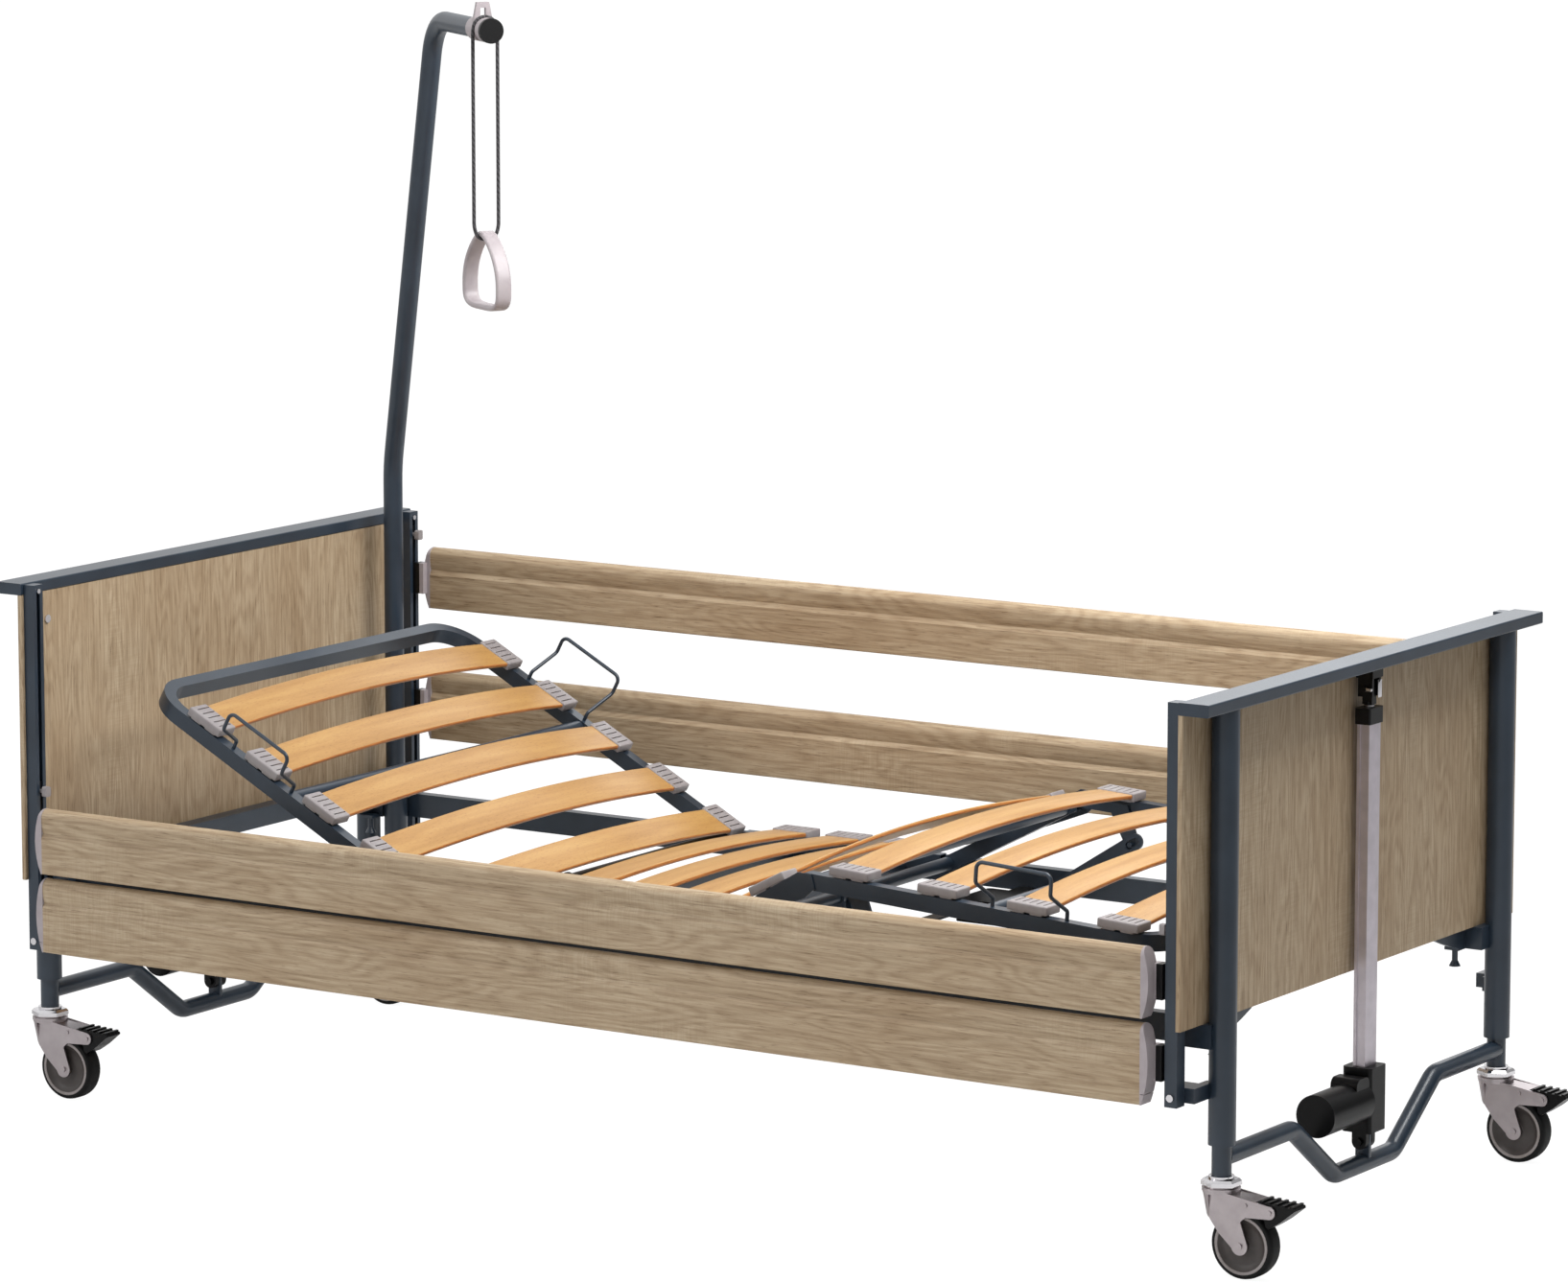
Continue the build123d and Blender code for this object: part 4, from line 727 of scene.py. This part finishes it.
# %% Undercarriage
COLUMN_Y = 429.4
CRANK_HIGH = 171.0
CRANK_LOW = 78.0
CRANK_BEND = 38.0
CRANK_OUTER_Y = 222.0
CRANK_INNER_Y = 92.0
LEG_BOTTOM = 144.0
LEG_TOP = 790.0
LEG_RADIUS = 14.5
LUG_HALF = 11.8
LUG_TOP = 123.0
COLLAR_RADIUS = 29.5
TUBE_RADIUS = 14.0


def bent_path(points, radius, steps=8):
    """The corner points of a path with each inner corner replaced by an arc of stations."""
    path = [points[0]]
    for before, corner, after in zip(points, points[1:], points[2:]):
        into, out = (before - corner).normalized(), (after - corner).normalized()
        half = into.angle(out) / 2
        centre = corner + (into + out).normalized() * radius / math.sin(half)
        start = corner + into * radius / math.tan(half) - centre
        end = corner + out * radius / math.tan(half) - centre
        first, last = start.normalized(), end.normalized()
        path += [centre + first.slerp(last, step / steps) * radius for step in range(steps + 1)]
    return path + [points[-1]]


def swept_tube(shape, path, radius, sides=24):
    """Extrude a ring of edges along a path that lies in one YZ plane."""
    ring = bmesh.ops.create_circle(shape, segments=sides, radius=radius)["verts"]
    heading = [(path[min(i + 1, len(path) - 1)] - path[max(i - 1, 0)]).normalized() for i in range(len(path))]
    turn = UP.rotation_difference(heading[0])
    bmesh.ops.rotate(shape, verts=ring, cent=(0, 0, 0), matrix=turn.to_matrix())
    bmesh.ops.translate(shape, verts=ring, vec=path[0])
    edges = list({edge for vert in ring for edge in vert.link_edges})
    shape.faces.new(ring)
    for index in range(1, len(path)):
        made = bmesh.ops.extrude_edge_only(shape, edges=edges)
        ring = new_verts(made)
        edges = [item for item in made["geom"] if isinstance(item, bmesh.types.BMEdge)
                 and all(vert in ring for vert in item.verts)]
        bmesh.ops.translate(shape, verts=ring, vec=path[index] - path[index - 1])
        turn = heading[index - 1].rotation_difference(heading[index])
        bmesh.ops.rotate(shape, verts=ring, cent=path[index], matrix=turn.to_matrix())
    bmesh.ops.contextual_create(shape, geom=edges)


def cylinder(shape, low, high, centre, radius, sides=32, top_radius=None):
    """Upright cylinder, cone or prism between two heights; centre is its (x, y)."""
    place = Matrix.Translation((centre[0], centre[1], (low + high) / 2))
    bmesh.ops.create_cone(shape, cap_ends=True, segments=sides, radius1=radius, depth=high - low,
                          radius2=radius if top_radius is None else top_radius, matrix=place)


for end in ENDS:
    low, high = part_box(f"{end}_lift_profile")
    x = (low[0] + high[0]) / 2 / MM
    tubes = bmesh.new()
    half_crank = [(COLUMN_Y - 6, CRANK_HIGH), (CRANK_OUTER_Y, CRANK_HIGH), (CRANK_INNER_Y, CRANK_LOW)]
    corners = [(-y, z) for y, z in half_crank] + half_crank[::-1]
    swept_tube(tubes, bent_path([Vector((x, y, z)) for y, z in corners], CRANK_BEND), TUBE_RADIUS)
    for y in (-COLUMN_Y, COLUMN_Y):
        cylinder(tubes, LEG_BOTTOM, LEG_TOP, (x, y), LEG_RADIUS)
    box_shape(tubes, (x - LUG_HALF, -4, CRANK_LOW + 8), (x + LUG_HALF, 4, LUG_TOP), 1.5)
    piece_from(tubes, f"{end}_undercarriage_tubes", anthracite, f"{end}_end_base", "frame_steel",
               f"{end}_undercarriage")
    collars = bmesh.new()
    for y in (-COLUMN_Y, COLUMN_Y):
        cylinder(collars, 131.8, 137.6, (x, y), COLLAR_RADIUS, sides=6)
        cylinder(collars, 137.6, 141.2, (x, y), COLLAR_RADIUS, sides=6, top_radius=26.0)
        cylinder(collars, 141.2, 145.2, (x, y), 18.6)
        cylinder(collars, 119.0, 132.0, (x, y), 8.0)
    piece_from(collars, f"{end}_caster_collars", chrome, f"{end}_end_base", "chrome")
print("cranked tubes bend at", CRANK_BEND, "mm")

# %% [markdown]
# ## The hanging grip
# The stirrup is a thick moulded ring: nearly an egg, flat below where the hand pulls and narrower above,
# where the cord passes under the top of the ring. A circle of edges is pushed into that outline and
# extruded to the grip's width, the wall is given its thickness, and a bevel rounds all four rims for the
# hand. The grip hangs a few degrees twisted on its soft cord.

# %% Grip
GRIP_CENTRE = 1283.0
GRIP_RISE = 87.5
GRIP_DROP = 38.0
GRIP_REACH = 69.0
GRIP_RIM = 4.2
GRIP_HALF_WIDTH = 13.0
GRIP_WALL = 9.0
GRIP_ALONG = 0.537
GRIP_TWIST = math.radians(7.0)
GRIP_POINTS = 56


def stirrup_point(turn):
    """Outline of the ring: wide and low at the bottom, drawn up to a narrow top."""
    across, up = math.sin(turn), math.cos(turn)
    if up > 0:
        return GRIP_REACH * across * (1.0 - 0.34 * up ** 2.6), GRIP_RISE * up
    return GRIP_REACH * math.copysign(abs(across) ** 0.5, across), -GRIP_DROP * abs(up) ** 0.6


grip = bmesh.new()
bmesh.ops.create_circle(grip, segments=GRIP_POINTS, radius=1.0)
for vert in grip.verts:
    across, up = stirrup_point(math.atan2(vert.co.x, vert.co.y))
    vert.co = (across, -GRIP_HALF_WIDTH, GRIP_CENTRE + up)
made = bmesh.ops.extrude_edge_only(grip, edges=list(grip.edges))
bmesh.ops.translate(grip, verts=new_verts(made), vec=(0, 2 * GRIP_HALF_WIDTH, 0))
bmesh.ops.recalc_face_normals(grip, faces=grip.faces)
bmesh.ops.solidify(grip, geom=list(grip.faces), thickness=GRIP_WALL)
bmesh.ops.recalc_face_normals(grip, faces=grip.faces)
rims = [edge for edge in grip.edges if len(edge.link_faces) == 2 and edge.calc_face_angle() > 1.2]
bmesh.ops.bevel(grip, geom=rims, affect="EDGES", offset=GRIP_RIM, segments=4, profile=0.5, material=-1)
grip_at = Matrix.Translation((POLE + along_arm * GRIP_ALONG) / MM)
grip_turn = Matrix.Rotation(ARM_HEADING + GRIP_TWIST, 4, "Z")
bmesh.ops.transform(grip, matrix=grip_at @ grip_turn, verts=grip.verts)
stirrup = piece_from(grip, "stirrup_grip", light_grey, "hanging_grip", "light_plastic", "grip_handle")
print("grip of", len(stirrup.data.polygons), "faces")

# %% [markdown]
# ### Clip pins of the lifts
# Each lift hangs from a bracket under its cap rail on a spring clip pin, which the user pulls to take
# the bed apart: a bright pin with a bent flap on the outer side.

# %% Clip pins
clips = bmesh.new()
for end, outward in (("head", -1), ("foot", 1)):
    low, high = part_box(f"{end}_lift_profile")
    x = (low[0] + high[0]) / 2 / MM
    flap = sorted((x + outward * 12.2, x + outward * 13.9))
    box_shape(clips, (flap[0], 2, 776), (flap[1], 13, 803), 0.7)
    box_shape(clips, (min(x, x + outward * 13), -18.8, 787.5), (max(x, x + outward * 13), -14.2, 792.5), 1.0)
piece_from(clips, "lift_clip_pins", chrome, "bed_frame", "chrome")
print("2 clip pins")

# %% [markdown]
# ## The hanging grip's cord
# A soft braided cord, six millimetres thick, loops over the clip on the arm and under the top of the
# grip. It carries a weight, so its two falls are straight, and it only bends round the clip and in the
# grip.
# A NURBS curve through a few given points gives that line, and the bevel gives its thickness.

# %% Cord
ARM_Z = 1.689
CORD_RADIUS = 3.0
BRAID_PITCH = 2.4
across_arm = Vector((-along_arm.y, along_arm.x, 0.0))
hang_point = POLE + along_arm * GRIP_ALONG + Vector((0, 0, ARM_Z))
cord_half = [(1.0, 20.3), (8.41, 20.3), (20.3, 8.41), (20.3, -26.0), (20.3, -296.0), (20.3, -314.0),
             (13.2, -332.0)]
cord_route = cord_half + [(-across, up) for across, up in reversed(cord_half)]


def cord_place(across, up):
    """A point in the plane across the arm, from millimetres across and up."""
    return hang_point + across_arm * across * MM + UP * up * MM


def cord_curve(name, route, radius_mm):
    """An open NURBS curve through a route in the plane across the arm."""
    curve = bpy.data.curves.new(name, "CURVE")
    curve.dimensions = "3D"
    curve.bevel_depth = radius_mm * MM
    curve.bevel_resolution = 5
    curve.resolution_u = 10
    curve.use_fill_caps = True
    spline = curve.splines.new("NURBS")
    spline.points.add(len(route) - 1)
    for point, (across, up) in zip(spline.points, route):
        point.co = (*cord_place(across, up), 1.0)
    spline.order_u = 3
    spline.use_endpoint_u = True
    cord = bpy.data.objects.new(name, curve)
    bpy.context.scene.collection.objects.link(cord)
    return cord


braid, braid_tree, braid_shader = new_material("polyester_braid_dark", IOR=1.5, Roughness=0.75,
                                               Sheen_Weight=0.3)
braid_place = add(braid_tree, "ShaderNodeTexCoord", out="Object")
twill = add(braid_tree, "ShaderNodeTexWave", {"Vector": braid_place, "Scale": every(BRAID_PITCH) / 6.283,
                                              "Distortion": 2.0, "Detail": 1.0}, "Fac",
            bands_direction="DIAGONAL")
yarn = add(braid_tree, "ShaderNodeValToRGB", {"Fac": twill}, stops=[(0.2, "#1B1A1C"), (0.7, "#3C3A3E")])
strands = add(braid_tree, "ShaderNodeBump", {"Height": twill, "Distance": 0.3 * MM, "Strength": 0.6})
braid_tree.links.new(yarn, braid_shader.inputs["Base Color"])
braid_tree.links.new(strands, braid_shader.inputs["Normal"])

cord = cord_curve("grip_cord_braid", cord_route, CORD_RADIUS)
cord.data.materials.append(braid)
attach(cord, "hanging_cord")
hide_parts("grip_cord")
print("cord of", len(cord_route), "points")
